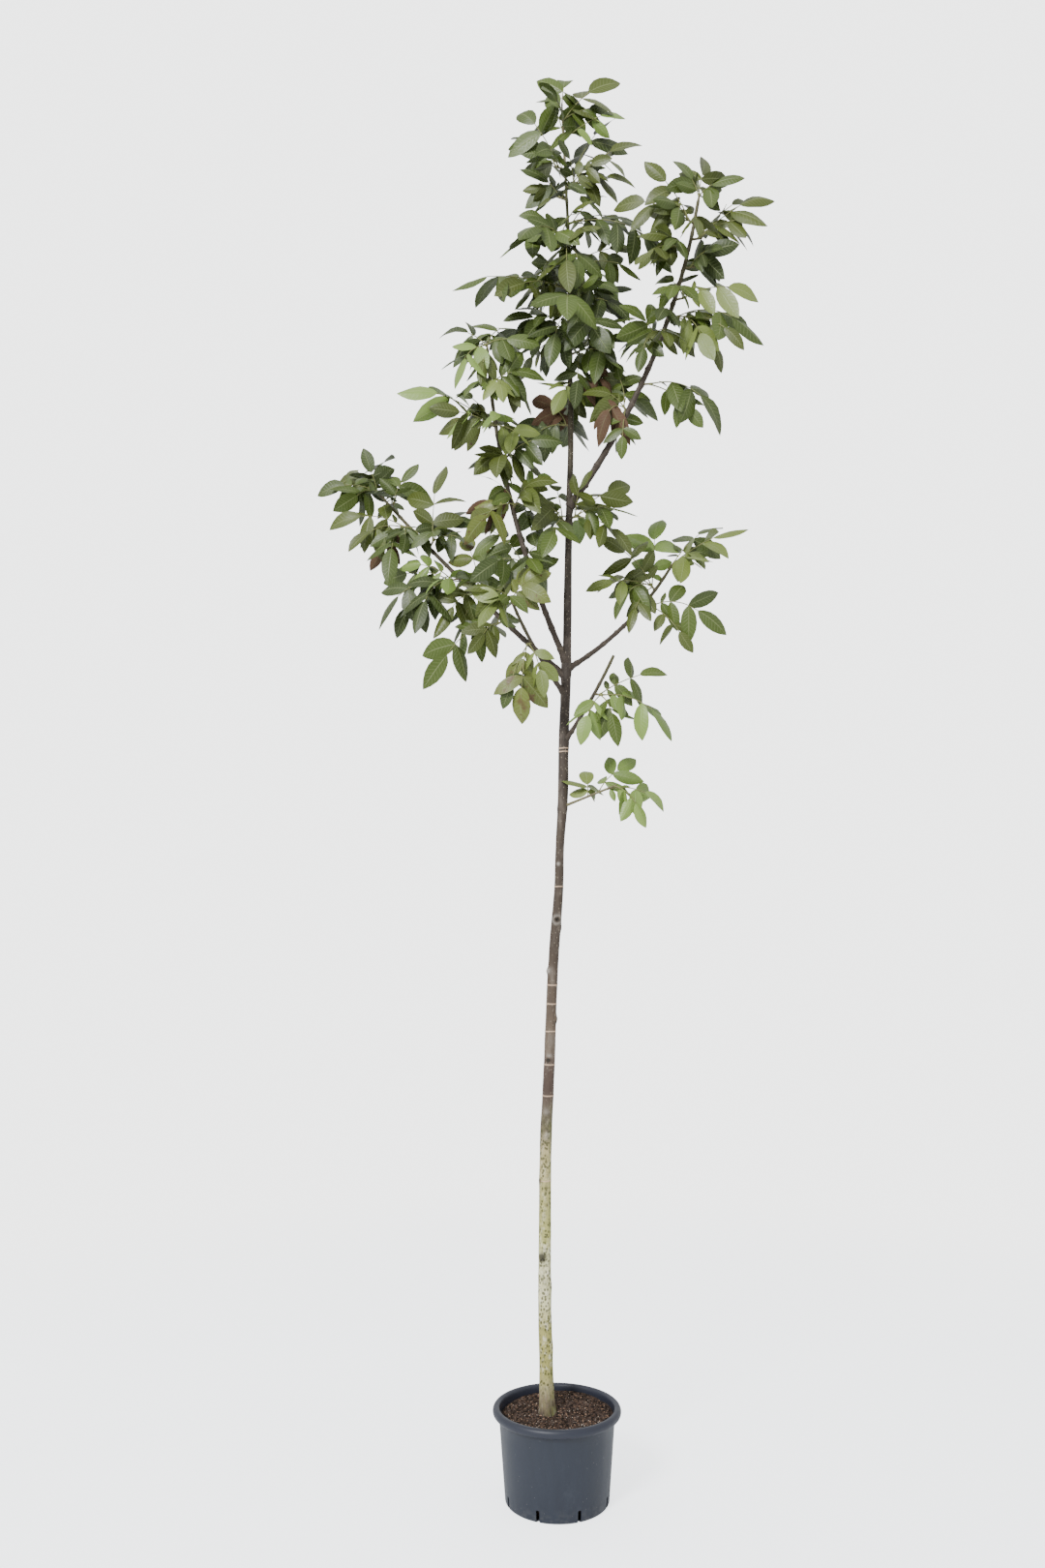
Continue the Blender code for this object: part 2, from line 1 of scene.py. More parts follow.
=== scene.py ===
"""Dress of a young walnut tree in a round nursery pot, grown and modelled round its CAD frame."""
import logging
import math
import random
from dataclasses import dataclass, field
from enum import Enum
from typing import Callable, NamedTuple, Sequence

import bpy
import numpy as np
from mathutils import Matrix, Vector, noise
from mathutils.bvhtree import BVHTree


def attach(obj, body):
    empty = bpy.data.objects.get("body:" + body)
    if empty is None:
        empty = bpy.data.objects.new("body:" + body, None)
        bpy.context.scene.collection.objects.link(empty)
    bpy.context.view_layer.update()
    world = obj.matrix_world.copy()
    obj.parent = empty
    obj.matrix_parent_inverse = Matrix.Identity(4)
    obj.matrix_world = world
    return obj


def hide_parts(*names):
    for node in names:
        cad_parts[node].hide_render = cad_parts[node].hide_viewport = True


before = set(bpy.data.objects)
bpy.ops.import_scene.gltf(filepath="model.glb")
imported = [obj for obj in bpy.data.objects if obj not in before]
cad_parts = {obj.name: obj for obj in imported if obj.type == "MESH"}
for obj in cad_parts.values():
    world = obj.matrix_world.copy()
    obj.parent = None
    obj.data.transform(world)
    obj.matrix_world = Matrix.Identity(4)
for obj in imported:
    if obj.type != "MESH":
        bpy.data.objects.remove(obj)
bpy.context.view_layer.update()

BODY = "root"
FOLIAGE_NODES = sorted(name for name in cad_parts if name.startswith("foliage_"))
UP = Vector((0.0, 0.0, 1.0))
LIGHT = Vector((0.0, -0.94, 0.34))
log = logging.getLogger("walnut")

Piece = bpy.types.Object
Material = bpy.types.Material
Shade = tuple[int, int, int]
Mesh = tuple[list, list]
Range = tuple[float, float]
Rows = tuple[tuple[float, ...], ...]


# ---- sizes of the plant

class Bough(NamedTuple):
    """Height on the trunk, azimuth, rise at each end, length and radii of one bough."""

    height: float
    azimuth: float
    rise_low: float
    rise_high: float
    length: float
    base_radius: float
    tip_radius: float


class Mass(NamedTuple):
    """Host limb, place on it, stem length and leaves as azimuth, rise, reach and droop."""

    host: str
    place: float
    stem: float
    leaves: tuple


class Blade(NamedTuple):
    """Foot, direction, face, length and width of one leaflet."""

    foot: Vector
    along: Vector
    normal: Vector
    length: float
    width: float


class Tone(Enum):
    """The colour families that sprays of leaves are dealt."""

    DEEP = "deep"
    MID = "mid"
    OLIVE = "olive"
    FRESH = "fresh"
    PALE = "pale"
    SPOTTED = "spotted"
    DRY = "dry"


class Side(Enum):
    """The two faces of a leaflet, by material slot."""

    UPPER = 0
    UNDER = 1


CLEAR = 0.0003
SEAM = 0.00001
TRUNK_DEPTH = 0.010
TRUNK_LINE = (
    (0.234, -0.030, 0.0275), (0.265, -0.030, 0.0240), (0.330, -0.031, 0.0215), (0.540, -0.035, 0.0198),
    (0.790, -0.034, 0.0184), (1.040, -0.030, 0.0178), (1.210, -0.021, 0.0170), (1.440, -0.012, 0.0150),
    (1.590, -0.004, 0.0146), (1.790, 0.012, 0.0140), (1.940, 0.017, 0.0134), (2.050, 0.025, 0.0158),
    (2.270, 0.030, 0.0165), (2.490, 0.040, 0.0145), (2.740, 0.045, 0.0128), (2.990, 0.050, 0.0112),
    (3.290, 0.058, 0.0092), (3.590, 0.056, 0.0082), (3.840, 0.057, 0.0065), (4.040, 0.052, 0.0052),
    (4.260, 0.043, 0.0040),
)
BOUGHS = {
    "bough_spur": Bough(2.255, -40, 46, 58, 0.325, 0.0062, 0.0036),
    "bough_middle": Bough(2.495, 30, 32, 56, 0.600, 0.0078, 0.0038),
    "bough_right": Bough(3.040, -20, 51, 80, 1.090, 0.0105, 0.0042),
    "bough_front": Bough(2.410, 215, 44, 61, 0.335, 0.0068, 0.0036),
    "bough_left": Bough(2.470, 150, 42, 48, 1.075, 0.0088, 0.0038),
    "bough_inner": Bough(2.515, 200, 64, 86, 1.060, 0.0090, 0.0038),
}
MASSES = {
    "leader_tip": Mass("trunk", 4.26, 0.22, ((205, 60, .19, 15), (-10, 38, .23, 20), (75, 66, .18, 15))),
    "leader_left_1": Mass("trunk", 4.24, 0.03, ((200, 50, .28, 20), (160, 44, .24, 25))),
    "leader_right_1": Mass("trunk", 4.17, 0.03, ((25, 57, .36, 25), (-15, 26, .27, 20))),
    "leader_left_2": Mass("trunk", 4.13, 0.03, ((205, 26, .16, 25), (140, 30, .16, 30))),
    "leader_right_2": Mass("trunk", 4.04, 0.03, ((-10, -30, .38, 50), (20, 8, .26, 30))),
    "leader_left_3": Mass("trunk", 3.99, 0.03, ((195, -28, .24, 35), (145, 41, .18, 20))),
    "leader_front_1": Mass("trunk", 3.94, 0.03, (
        (290, -60, .26, 40), (238, -22, .30, 45), (265, -62, .30, 30))),
    "leader_back_1": Mass("trunk", 3.88, 0.03, (
        (25, -6, .22, 40), (135, 20, .24, 40), (70, 42, .28, 35))),
    "leader_left_4": Mass("trunk", 3.80, 0.04, (
        (195, -6, .38, 25), (215, -24, .26, 35), (110, 2, .26, 40))),
    "leader_right_3": Mass("trunk", 3.75, 0.04, ((-25, -32, .21, 40), (30, 32, .19, 30))),
    "leader_front_2": Mass("trunk", 3.69, 0.03, (
        (240, -58, .28, 45), (268, -28, .34, 50), (305, -52, .26, 45))),
    "leader_left_5": Mass("trunk", 3.64, 0.03, (
        (200, 12, .21, 30), (165, 0, .27, 35), (115, -10, .24, 45))),
    "leader_right_4": Mass("trunk", 3.57, 0.04, (
        (-15, 3, .20, 35), (-40, -38, .21, 40), (70, 25, .28, 40))),
    "leader_right_5": Mass("trunk", 3.46, 0.03, (
        (-20, -12, .19, 40), (30, -26, .18, 50), (95, 5, .34, 40))),
    "leader_back_2": Mass("trunk", 3.32, 0.03, (
        (205, -36, .19, 40), (135, 18, .20, 40), (80, 12, .32, 40))),
    "leader_low_right": Mass("trunk", 3.00, 0.02, ((-15, -5, .21, 45), (20, 27, .24, 30))),
    "leader_low_left": Mass("trunk", 2.98, 0.02, ((215, 14, .16, 40),)),
    "right_tip": Mass("bough_right", 1.00, 0.02, (
        (205, 54, .16, 25), (20, 72, .18, 15), (-35, 2, .15, 30))),
    "right_upper_left": Mass("bough_right", 0.93, 0.02, ((195, 43, .25, 20), (170, 17, .27, 30))),
    "right_upper_right": Mass("bough_right", 0.88, 0.03, ((-10, 32, .29, 15), (20, 14, .26, 45))),
    "right_mid_left": Mass("bough_right", 0.84, 0.02, ((205, 10, .16, 30), (145, 2, .17, 40))),
    "right_mid_right": Mass("bough_right", 0.79, 0.03, ((-35, 12, .16, 45), (45, 4, .17, 40))),
    "right_out": Mass("bough_right", 0.69, 0.03, ((-10, -7, .26, 40), (150, 43, .18, 35))),
    "right_low_right": Mass("bough_right", 0.63, 0.03, ((-10, -20, .31, 60), (-50, -58, .24, 50))),
    "right_low_left": Mass("bough_right", 0.56, 0.03, (
        (225, 26, .16, 35), (135, 12, .17, 40), (45, 18, .20, 30))),
    "right_pendant": Mass("bough_right", 0.42, 0.02, ((-15, -36, .30, 60),)),
    "right_inner": Mass("bough_right", 0.33, 0.02, (
        (200, 22, .16, 30), (145, 68, .20, 30), (75, 30, .28, 40))),
    "middle_tip": Mass("bough_middle", 1.00, 0.02, (
        (-10, 25, .27, 15), (20, 42, .27, 15), (-50, -8, .16, 30))),
    "middle_inner": Mass("bough_middle", 0.80, 0.02, (
        (65, 72, .30, -10), (195, 35, .25, 35), (165, 8, .20, 45), (215, -40, .20, 50))),
    "middle_pendant": Mass("bough_middle", 0.68, 0.02, ((-10, -29, .28, 60),)),
    "spur": Mass("bough_spur", 0.58, 0.02, (
        (-10, 17, .24, 20), (-50, -70, .18, 40), (-15, -35, .29, 45))),
    "low_twig": Mass("trunk", 2.05, 0.17, ((95, 62, .14, 15), (-10, -15, .24, 45), (-25, -52, .19, 40))),
    "front_tip": Mass("bough_front", 1.00, 0.02, (
        (205, 16, .16, 40), (-35, 32, .17, 35), (225, -32, .17, 40))),
    "front_pendant": Mass("bough_front", 0.60, 0.02, ((250, -76, .27, 20),)),
    "left_tip": Mass("bough_left", 1.00, 0.03, (
        (190, -2, .22, 35), (155, 38, .22, 25), (60, 72, .19, 15), (215, -39, .18, 45))),
    "left_top": Mass("bough_left", 0.93, 0.02, ((-30, 52, .18, 35), (70, 40, .22, 35))),
    "left_out": Mass("bough_left", 0.82, 0.02, (
        (190, 0, .27, 40), (205, -28, .23, 45), (250, -60, .26, 50))),
    "left_up": Mass("bough_left", 0.70, 0.03, ((-60, 80, .29, 15), (35, 40, .21, 30))),
    "left_fall": Mass("bough_left", 0.53, 0.03, (
        (195, -38, .33, 50), (235, -50, .29, 50), (165, 2, .28, 45))),
    "left_low": Mass("bough_left", 0.43, 0.02, (
        (205, -50, .21, 50), (135, 62, .26, 30), (-25, 52, .22, 35))),
    "left_pendant": Mass("bough_left", 0.30, 0.02, ((195, -44, .34, 55), (125, -14, .17, 40))),
    "inner_tip": Mass("bough_inner", 1.00, 0.03, (
        (170, 22, .18, 25), (220, -52, .22, 40), (-20, -10, .17, 35), (60, 38, .22, 25))),
    "inner_top_right": Mass("bough_inner", 0.90, 0.02, ((-25, 0, .16, 35), (35, -18, .17, 40))),
    "inner_left": Mass("bough_inner", 0.76, 0.02, (
        (190, 16, .32, 30), (205, 0, .21, 35), (165, -4, .19, 45))),
    "inner_right": Mass("bough_inner", 0.65, 0.02, (
        (-25, 10, .20, 40), (30, -4, .16, 45), (225, -35, .15, 40))),
    "inner_low": Mass("bough_inner", 0.50, 0.02, (
        (-50, 24, .17, 35), (215, -42, .23, 50), (45, -28, .19, 45))),
    "inner_base": Mass("bough_inner", 0.33, 0.02, (
        (165, 38, .26, 35), (215, -25, .19, 45), (40, -28, .17, 40))),
}
BOUGH_STEPS = 9
STEM_RADIUS = 0.0034
STEM_LEAN = 0.45
WEAK_LEAD = 0.5
STALK_RADIUS = 0.0017
STALK_STEPS = 3
STALK_TAPER = 0.4
SMALL_LEAF = 0.24
LEAF_SIZE = 0.30
LONG_LEAF = 0.35
PAIR_PLACES = ((0.40, 0.78), (0.30, 0.57, 0.84))
LEAFLET_THICKNESS = 0.022
LEAFLET_WAIST = 0.50
LEAFLET_SPREAD = 1.15
LOW_TWIG_HEADING = (-25, 18)
TWIG_STOUTNESS = 1.2
STALK_STOUTNESS = 1.3

# How a compound leaf grows: shares of its size, metres, degrees and the ranges that vary them
AZIMUTH_DRIFT = (-5, 5)
RISE_DRIFT = (-4, 4)
FACE_TURN = (0.6, 1.2)
FACE_LEAN = (-18, 18)
TIP_ROOM = 0.012
TIP_FALL = 14
END_SIZE = 0.36
END_LENGTH = 0.018
END_VARIETY = (0.95, 1.08)
END_NOD = (0.0, 0.25)
END_WIDTH = (0.46, 0.56)
PAIR_SIZE = 0.28
PAIR_GAIN = 0.06
PAIR_LENGTH = 0.022
PAIR_VARIETY = (0.90, 1.12)
PAIR_SPREAD = (54, 74)
PAIR_HANG = (-8, 40)
PAIR_ROLL = (-24, 24)
PAIR_WIDTH = (0.45, 0.55)
LOW_PLACE = 0.52
LOW_REACH = 0.20
LOW_CHANCE = 0.7
LOW_SIZE = 0.19
LOW_VARIETY = (0.8, 1.15)
LOW_SPREAD = (58, 76)
LOW_HANG = (0.1, 0.5)
LOW_WIDTH = (0.52, 0.62)

# Length and width of the drawn leaflets as shares of the solids', with masses that have their own
LEAFLET_SHARE = (0.95, 1.07)
LEAFLET_SHARES = {"leader_tip": (1.20, 1.22), "low_twig": (0.74, 0.93), "spur": (0.82, 0.99)}

# Leaves between those that the solids carry, by mass, and the tone of those that have their own
FINER = {
    "leader_tip": ((0, 14, .20, 30), (250, -5, .18, 25), (-12, 22, .25, 25)),
    "leader_left_1": ((250, -20, .20, 35), (100, 30, .22, 25)),
    "leader_right_1": ((-40, 5, .20, 35), (60, 20, .22, 30), (250, 35, .18, 25), (-6, 2, .22, 35)),
    "leader_left_2": ((190, 5, .16, 35), (280, -20, .20, 40)),
    "leader_right_2": ((5, 40, .22, 20), (275, 25, .20, 30), (70, 10, .24, 40)),
    "leader_left_3": ((215, 10, .18, 35), (-60, 10, .20, 30)),
    "leader_front_1": ((300, -15, .22, 40), (225, 10, .18, 30)),
    "leader_back_1": ((4, 14, .26, 40), (-12, -10, .28, 45), (110, -10, .26, 40)),
    "leader_left_4": ((228, 30, .20, 30), (180, -30, .20, 40), (150, 25, .22, 30)),
    "leader_right_3": ((-50, 0, .20, 35), (5, 15, .22, 40)),
    "leader_front_2": ((285, 5, .22, 40), (222, 0, .20, 40), (250, -74, .24, 20, Tone.DEEP)),
    "leader_left_5": ((200, 25, .22, 35), (225, -38, .20, 40), (140, -30, .24, 40)),
    "leader_right_4": ((-30, 22, .22, 35), (60, -10, .26, 40), (262, -76, .26, 20, Tone.DEEP)),
    "leader_right_5": ((250, -40, .24, 40), (-45, -25, .20, 60, Tone.DRY), (90, -20, .24, 40)),
    "leader_back_2": ((205, 30, .17, 60, Tone.DRY), (110, 5, .26, 40)),
    "leader_low_right": ((275, 25, .20, 30), (-12, -34, .24, 40), (80, 0, .22, 40)),
    "leader_low_left": ((250, -50, .22, 40), (150, 20, .18, 30), (110, 62, .22, 20)),
    "right_tip": ((160, 20, .14, 25),),
    "right_upper_left": ((235, -10, .18, 35), (268, -40, .22, 35), (140, -10, .20, 35)),
    "right_upper_right": ((-15, 5, .24, 40), (0, 34, .28, 20), (60, 10, .20, 35)),
    "right_mid_left": ((240, -25, .19, 35), (265, 12, .17, 30), (212, -34, .24, 35)),
    "right_mid_right": ((300, -5, .18, 40), (80, 0, .22, 35)),
    "right_out": ((245, -20, .20, 40),),
    "right_low_right": ((-32, -35, .30, 40), (255, -30, .22, 40), (60, -20, .22, 40), (-15, -52, .28, 40)),
    "right_low_left": ((275, -30, .24, 40), (245, -52, .25, 40)),
    "right_pendant": ((-10, -52, .26, 40),),
    "right_inner": ((258, -70, .24, 20), (222, -52, .18, 60, Tone.DRY), (100, -20, .22, 40)),
    "middle_tip": ((250, 5, .16, 30),),
    "middle_inner": ((232, -52, .24, 30), (200, -12, .24, 35)),
    "middle_pendant": ((-20, -56, .24, 30),),
    "spur": ((225, -60, .20, 30),),
    "low_twig": ((25, 32, .20, 30),),
    "front_tip": ((130, 58, .18, 30), (265, -20, .18, 40)),
    "front_pendant": ((218, -72, .26, 20), (300, -66, .22, 30)),
    "left_tip": ((225, 55, .17, 20), (250, 0, .18, 35), (120, 0, .18, 35)),
    "left_top": ((255, 0, .18, 35), (100, 5, .20, 35)),
    "left_out": ((275, -45, .22, 40), (205, -62, .22, 30, Tone.DRY), (-40, -40, .20, 40)),
    "left_up": ((-40, -15, .22, 35), (225, -15, .22, 35), (270, -10, .18, 35)),
    "left_fall": ((178, 12, .22, 40), (265, -25, .22, 40), (196, -50, .30, 40)),
    "left_low": ((255, 0, .18, 35), (-60, -30, .18, 40), (90, 10, .22, 35), (212, -74, .26, 30)),
    "left_pendant": ((235, -50, .20, 40), (-80, 20, .16, 35)),
    "inner_tip": ((120, 10, .20, 35), (262, -70, .20, 35)),
    "inner_top_right": ((235, -35, .20, 35), (285, -40, .22, 40)),
    "inner_left": ((-25, -36, .22, 35), (30, 12, .18, 35), (280, -15, .22, 35), (170, 42, .22, 30)),
    "inner_right": ((262, -30, .18, 40), (262, 30, .20, 35)),
    "inner_low": ((200, 32, .18, 40), (20, 35, .22, 40), (195, -20, .17, 60, Tone.DRY)),
    "inner_base": ((30, 30, .20, 35), (290, -30, .20, 40)),
}
FINER_SIZES = (0.66, 0.95)
FINER_PLACES = (0.25, 1.0)
FINER_LEAST = 0.6
FITTING = (1.0, 0.75, 0.5)

# Shares of the tones in Tone's order, by the first word of a mass's name
TONE_SHARES = {
    "leader": (0.28, 0.42, 0.22, 0.03, 0.04, 0.01, 0.00),
    "right": (0.22, 0.42, 0.28, 0.04, 0.04, 0.00, 0.00),
    "middle": (0.00, 0.06, 0.10, 0.34, 0.48, 0.02, 0.00),
    "spur": (0.00, 0.25, 0.00, 0.60, 0.15, 0.00, 0.00),
    "low": (0.00, 0.10, 0.00, 0.60, 0.30, 0.00, 0.00),
    "front": (0.08, 0.30, 0.26, 0.10, 0.18, 0.08, 0.00),
    "left": (0.34, 0.36, 0.18, 0.05, 0.06, 0.01, 0.00),
    "inner": (0.10, 0.32, 0.24, 0.14, 0.16, 0.04, 0.00),
}
# Tones of the solids' leaves in masses where they have a place of their own
PICKED = {
    "leader_tip": (Tone.MID, Tone.OLIVE, Tone.MID),
    "leader_front_2": (Tone.DEEP, Tone.MID, Tone.DEEP),
    "right_pendant": (Tone.MID,),
    "inner_left": (Tone.FRESH, Tone.OLIVE, Tone.SPOTTED),
    "inner_low": (Tone.OLIVE, Tone.SPOTTED, Tone.MID),
    "front_tip": (Tone.OLIVE, Tone.SPOTTED, Tone.PALE),
    "front_pendant": (Tone.SPOTTED,),
    "left_low": (Tone.OLIVE, Tone.SPOTTED, Tone.MID),
    "left_fall": (Tone.DEEP, Tone.DEEP, Tone.MID),
    "low_twig": (Tone.PALE, Tone.FRESH, Tone.FRESH),
    "middle_inner": (Tone.FRESH, Tone.OLIVE, Tone.SPOTTED, Tone.MID),
}


# ---- shader arithmetic

def linear(shade: Shade, strength: float = 1.0) -> tuple[float, float, float, float]:
    """Turn a display colour of 0 to 255 into the shader's linear colour.

    Args:
        shade: Red, green and blue as seen on a screen.
        strength: Factor on the result.

    Returns:
        Linear red, green, blue and an alpha of one.
    """
    parts = [value / 255.0 for value in shade]
    return (*[(p / 12.92 if p <= 0.04045 else ((p + 0.055) / 1.055) ** 2.4) * strength for p in parts], 1.0)


@dataclass(frozen=True)
class Wire:
    """A node's output that takes part in arithmetic."""

    recipe: "Recipe"
    socket: bpy.types.NodeSocket

    def maths(self, operation: str, left: "Wire | float", right: "Wire | float" = 0.0) -> "Wire":
        """Add a Math node on two values."""
        return self.recipe.node("ShaderNodeMath", {"operation": operation}, {0: left, 1: right})

    def __add__(self, other: "Wire | float") -> "Wire":
        """Sum."""
        return self.maths("ADD", self, other)

    def __radd__(self, other: float) -> "Wire":
        """Sum, from the right."""
        return self.maths("ADD", other, self)

    def __sub__(self, other: "Wire | float") -> "Wire":
        """Difference."""
        return self.maths("SUBTRACT", self, other)

    def __rsub__(self, other: float) -> "Wire":
        """Difference, from the right."""
        return self.maths("SUBTRACT", other, self)

    def __mul__(self, other: "Wire | float") -> "Wire":
        """Product."""
        return self.maths("MULTIPLY", self, other)

    def __rmul__(self, other: float) -> "Wire":
        """Product, from the right."""
        return self.maths("MULTIPLY", other, self)

    def __truediv__(self, other: "Wire | float") -> "Wire":
        """Quotient."""
        return self.maths("DIVIDE", self, other)

    def __abs__(self) -> "Wire":
        """Size without sign."""
        return self.maths("ABSOLUTE", self)

    def __mod__(self, other: float) -> "Wire":
        """Remainder that is never negative."""
        return self.maths("FLOORED_MODULO", self, other)

    def top(self, other: "Wire | float") -> "Wire":
        """The larger of two values."""
        return self.maths("MAXIMUM", self, other)

    def ease(self, low: float, high: float) -> "Wire":
        """Smooth step between two values.

        Args:
            low: Where it is 0.
            high: Where it is 1, which may be the smaller.

        Returns:
            The step.
        """
        flip = low > high
        ends = {1: min(low, high), 2: max(low, high), 3: float(flip), 4: float(not flip)}
        settings = {"interpolation_type": "SMOOTHSTEP"}
        return self.recipe.node("ShaderNodeMapRange", settings, {0: self, **ends})


class Recipe:
    """One node material and the ways its nodes are made."""

    def __init__(self, name: str, roughness: float = 0.6, **constants: float) -> None:
        """Start a Principled material.

        Args:
            name: The material's name.
            roughness: Plain roughness, until something varying is fed in.
            constants: Shader sockets by name, with _ for a space.
        """
        self.material = bpy.data.materials.new(name)
        self.material.use_nodes = True
        self.tree = self.material.node_tree
        self.shader = self.tree.nodes["Principled BSDF"]
        self.colour: Wire | None = None
        self.shader.inputs["Roughness"].default_value = roughness
        for key, value in constants.items():
            self.shader.inputs[key.replace("_", " ")].default_value = value

    def node(self, kind: str, settings: dict | None = None, values: dict | None = None,
             output: int | str = 0) -> Wire:
        """Add a node.

        Args:
            kind: The node's type.
            settings: Its own settings, set first; "stops" gives a ramp's stops.
            values: Numbers, colours or wires for its sockets, by index or name.
            output: Which output to hand back.

        Returns:
            The chosen output as a wire.
        """
        made = self.tree.nodes.new(kind)
        for key, value in (settings or {}).items():
            if key == "stops":
                points = made.color_ramp.elements
                while len(points) < len(value):
                    points.new(1.0)
                for point, (place, shade) in zip(points, value):
                    point.position = place
                    point.color = shade
            else:
                setattr(made, key, value)
        for key, value in (values or {}).items():
            if isinstance(value, Wire):
                self.tree.links.new(value.socket, made.inputs[key])
            else:
                made.inputs[key].default_value = value
        return Wire(self, made.outputs[output])

    def feed(self, socket: str, value: Wire) -> None:
        """Link a wire to one of the shader's sockets."""
        self.tree.links.new(value.socket, self.shader.inputs[socket])

    def place(self, tall: float = 1.0) -> Wire:
        """Object coordinates.

        Args:
            tall: Factor on the height, less than one to draw a pattern out upwards.

        Returns:
            The coordinates, scaled.
        """
        spot = self.node("ShaderNodeTexCoord", output="Object")
        if tall == 1.0:
            return spot
        return self.node("ShaderNodeMapping", {}, {"Vector": spot, "Scale": (1.0, 1.0, tall)})

    def axis(self, number: int, vector: Wire | None = None) -> Wire:
        """One component of a vector, by default of the object coordinates."""
        return self.node("ShaderNodeSeparateXYZ", {}, {0: vector or self.place()}, output=number)

    def cloud(self, scale: float, detail: float = 3.0, tall: float = 1.0, roughness: float = 0.55) -> Wire:
        """Noise of 0 to 1 at so many features a metre."""
        values = {"Vector": self.place(tall), "Scale": scale, "Detail": detail, "Roughness": roughness}
        return self.node("ShaderNodeTexNoise", {}, values)

    def cells(self, scale: float, tall: float = 1.0) -> Wire:
        """Distance to the nearest of scattered points, so many a metre."""
        values = {"Vector": self.place(tall), "Scale": scale}
        return self.node("ShaderNodeTexVoronoi", {}, values, "Distance")

    def attribute(self, name: str) -> Wire:
        """A number kept on the mesh's points."""
        return self.node("ShaderNodeAttribute", {"attribute_name": name}, output="Fac")

    def ramp(self, value: Wire, stops: Sequence[tuple[float, tuple]]) -> Wire:
        """Colours strung along a value."""
        return self.node("ShaderNodeValToRGB", {"stops": stops}, {0: value})

    def mix(self, share: Wire | float, first: Wire | tuple, second: Wire | tuple) -> Wire:
        """Blend two colours.

        Args:
            share: How much of the second shows.
            first: The colour underneath.
            second: The colour laid over it.

        Returns:
            The blended colour.
        """
        return self.node("ShaderNodeMix", {"data_type": "RGBA"}, {0: share, 6: first, 7: second}, output=2)

    def done(self) -> Material:
        """Feed the colour so far to the shader and hand back the material."""
        self.feed("Base Color", self.colour)
        return self.material

    def coat(self, share: Wire | float, shade: Shade, strength: float = 1.0) -> None:
        """Lay a colour over the material's colour so far, by `share`."""
        self.colour = self.mix(share, self.colour, linear(shade, strength))

    def emboss(self, height: Wire, distance: float, strength: float = 1.0) -> None:
        """Raise the surface by `height` times `distance` metres in the shading."""
        values = {"Height": height, "Distance": distance, "Strength": strength}
        self.feed("Normal", self.node("ShaderNodeBump", {}, values))


# ---- finishes

@dataclass(frozen=True)
class LeafFinish:
    """Upper and under side of one tone of leaflet."""

    tone: Tone
    upper: Shade
    patch: Shade
    under: Shade
    roughness: float = 0.42
    veins: float = 0.22
    spots: float = 0.0

    def upper_side(self) -> Material:
        """Green blade with pale veins, uneven colour, painted light and shade that lighten and darken each
        leaflet at random, and, on some, brown spots.

        Returns:
            The material.
        """
        recipe = Recipe(f"leaf_{self.tone.value}_upper", self.roughness, Specular_IOR_Level=0.42)
        drift = recipe.cloud(9.0, 2.0).ease(0.35, 0.65)
        recipe.colour = recipe.mix(drift, linear(self.upper), linear(self.patch))
        # Painted light and painted shade: each leaflet's random "age" number picks between a darker and a
        # lighter copy of its greens.
        painted_light_shade = recipe.mix(recipe.attribute("age"), linear(self.upper, 0.62), linear(self.patch, 1.42))
        recipe.colour = recipe.mix(0.55, recipe.colour, painted_light_shade)
        mottle = recipe.cloud(160.0, 3.0).ease(0.3, 0.75)
        recipe.coat(mottle * 0.22, self.patch, 1.35)
        rib, side_rib = self.ribs(recipe)
        lines = (rib * 0.9).top(side_rib * 0.55) * self.veins * 2.0
        recipe.coat(lines, (150, 160, 112))
        if self.spots > 0:
            blot = recipe.cloud(55.0, 4.0, roughness=0.7).ease(0.60, 0.66)
            scorch = recipe.cloud(12.0, 2.0).ease(0.62, 0.70)
            recipe.coat(blot.top(scorch) * self.spots * 0.85, (84, 58, 34))
        recipe.feed("Roughness", mottle * 0.16 + (self.roughness - 0.06))
        relief = recipe.cloud(300.0, 2.0) * 0.25 - rib * 0.9 - side_rib * 0.45
        recipe.emboss(relief, 0.0007, 0.8)
        return recipe.done()

    def under_side(self) -> Material:
        """Paler, duller blade with raised ribs.

        Returns:
            The material.
        """
        recipe = Recipe(f"leaf_{self.tone.value}_under", 0.68, Specular_IOR_Level=0.3)
        drift = recipe.cloud(14.0, 2.0).ease(0.35, 0.65)
        recipe.colour = recipe.mix(drift * 0.5, linear(self.under), linear(self.patch))
        rib, side_rib = self.ribs(recipe)
        recipe.coat((rib * 0.9).top(side_rib * 0.5) * 0.5, (172, 178, 136))
        recipe.emboss(rib + side_rib * 0.5, 0.0006, 0.8)
        return recipe.done()

    @staticmethod
    def ribs(recipe: Recipe) -> tuple[Wire, Wire]:
        """Masks of the midrib and of the side ribs that curve to the rim, from the blade's own map.

        Args:
            recipe: The material they are for.

        Returns:
            Midrib and side ribs, each 0 to 1.
        """
        spot = recipe.node("ShaderNodeTexCoord", output="UV")
        off = abs(recipe.axis(0, spot) - 0.5) * 2.0
        along = recipe.axis(1, spot)
        rib = off.ease(0.10, 0.0) * along.ease(1.02, 0.75)
        comb = (along * 10.0 - off * 1.9 + off * off * 0.4) % 1.0
        side_rib = abs(comb - 0.5).ease(0.13, 0.0) * off.ease(1.0, 0.55)
        return rib, side_rib


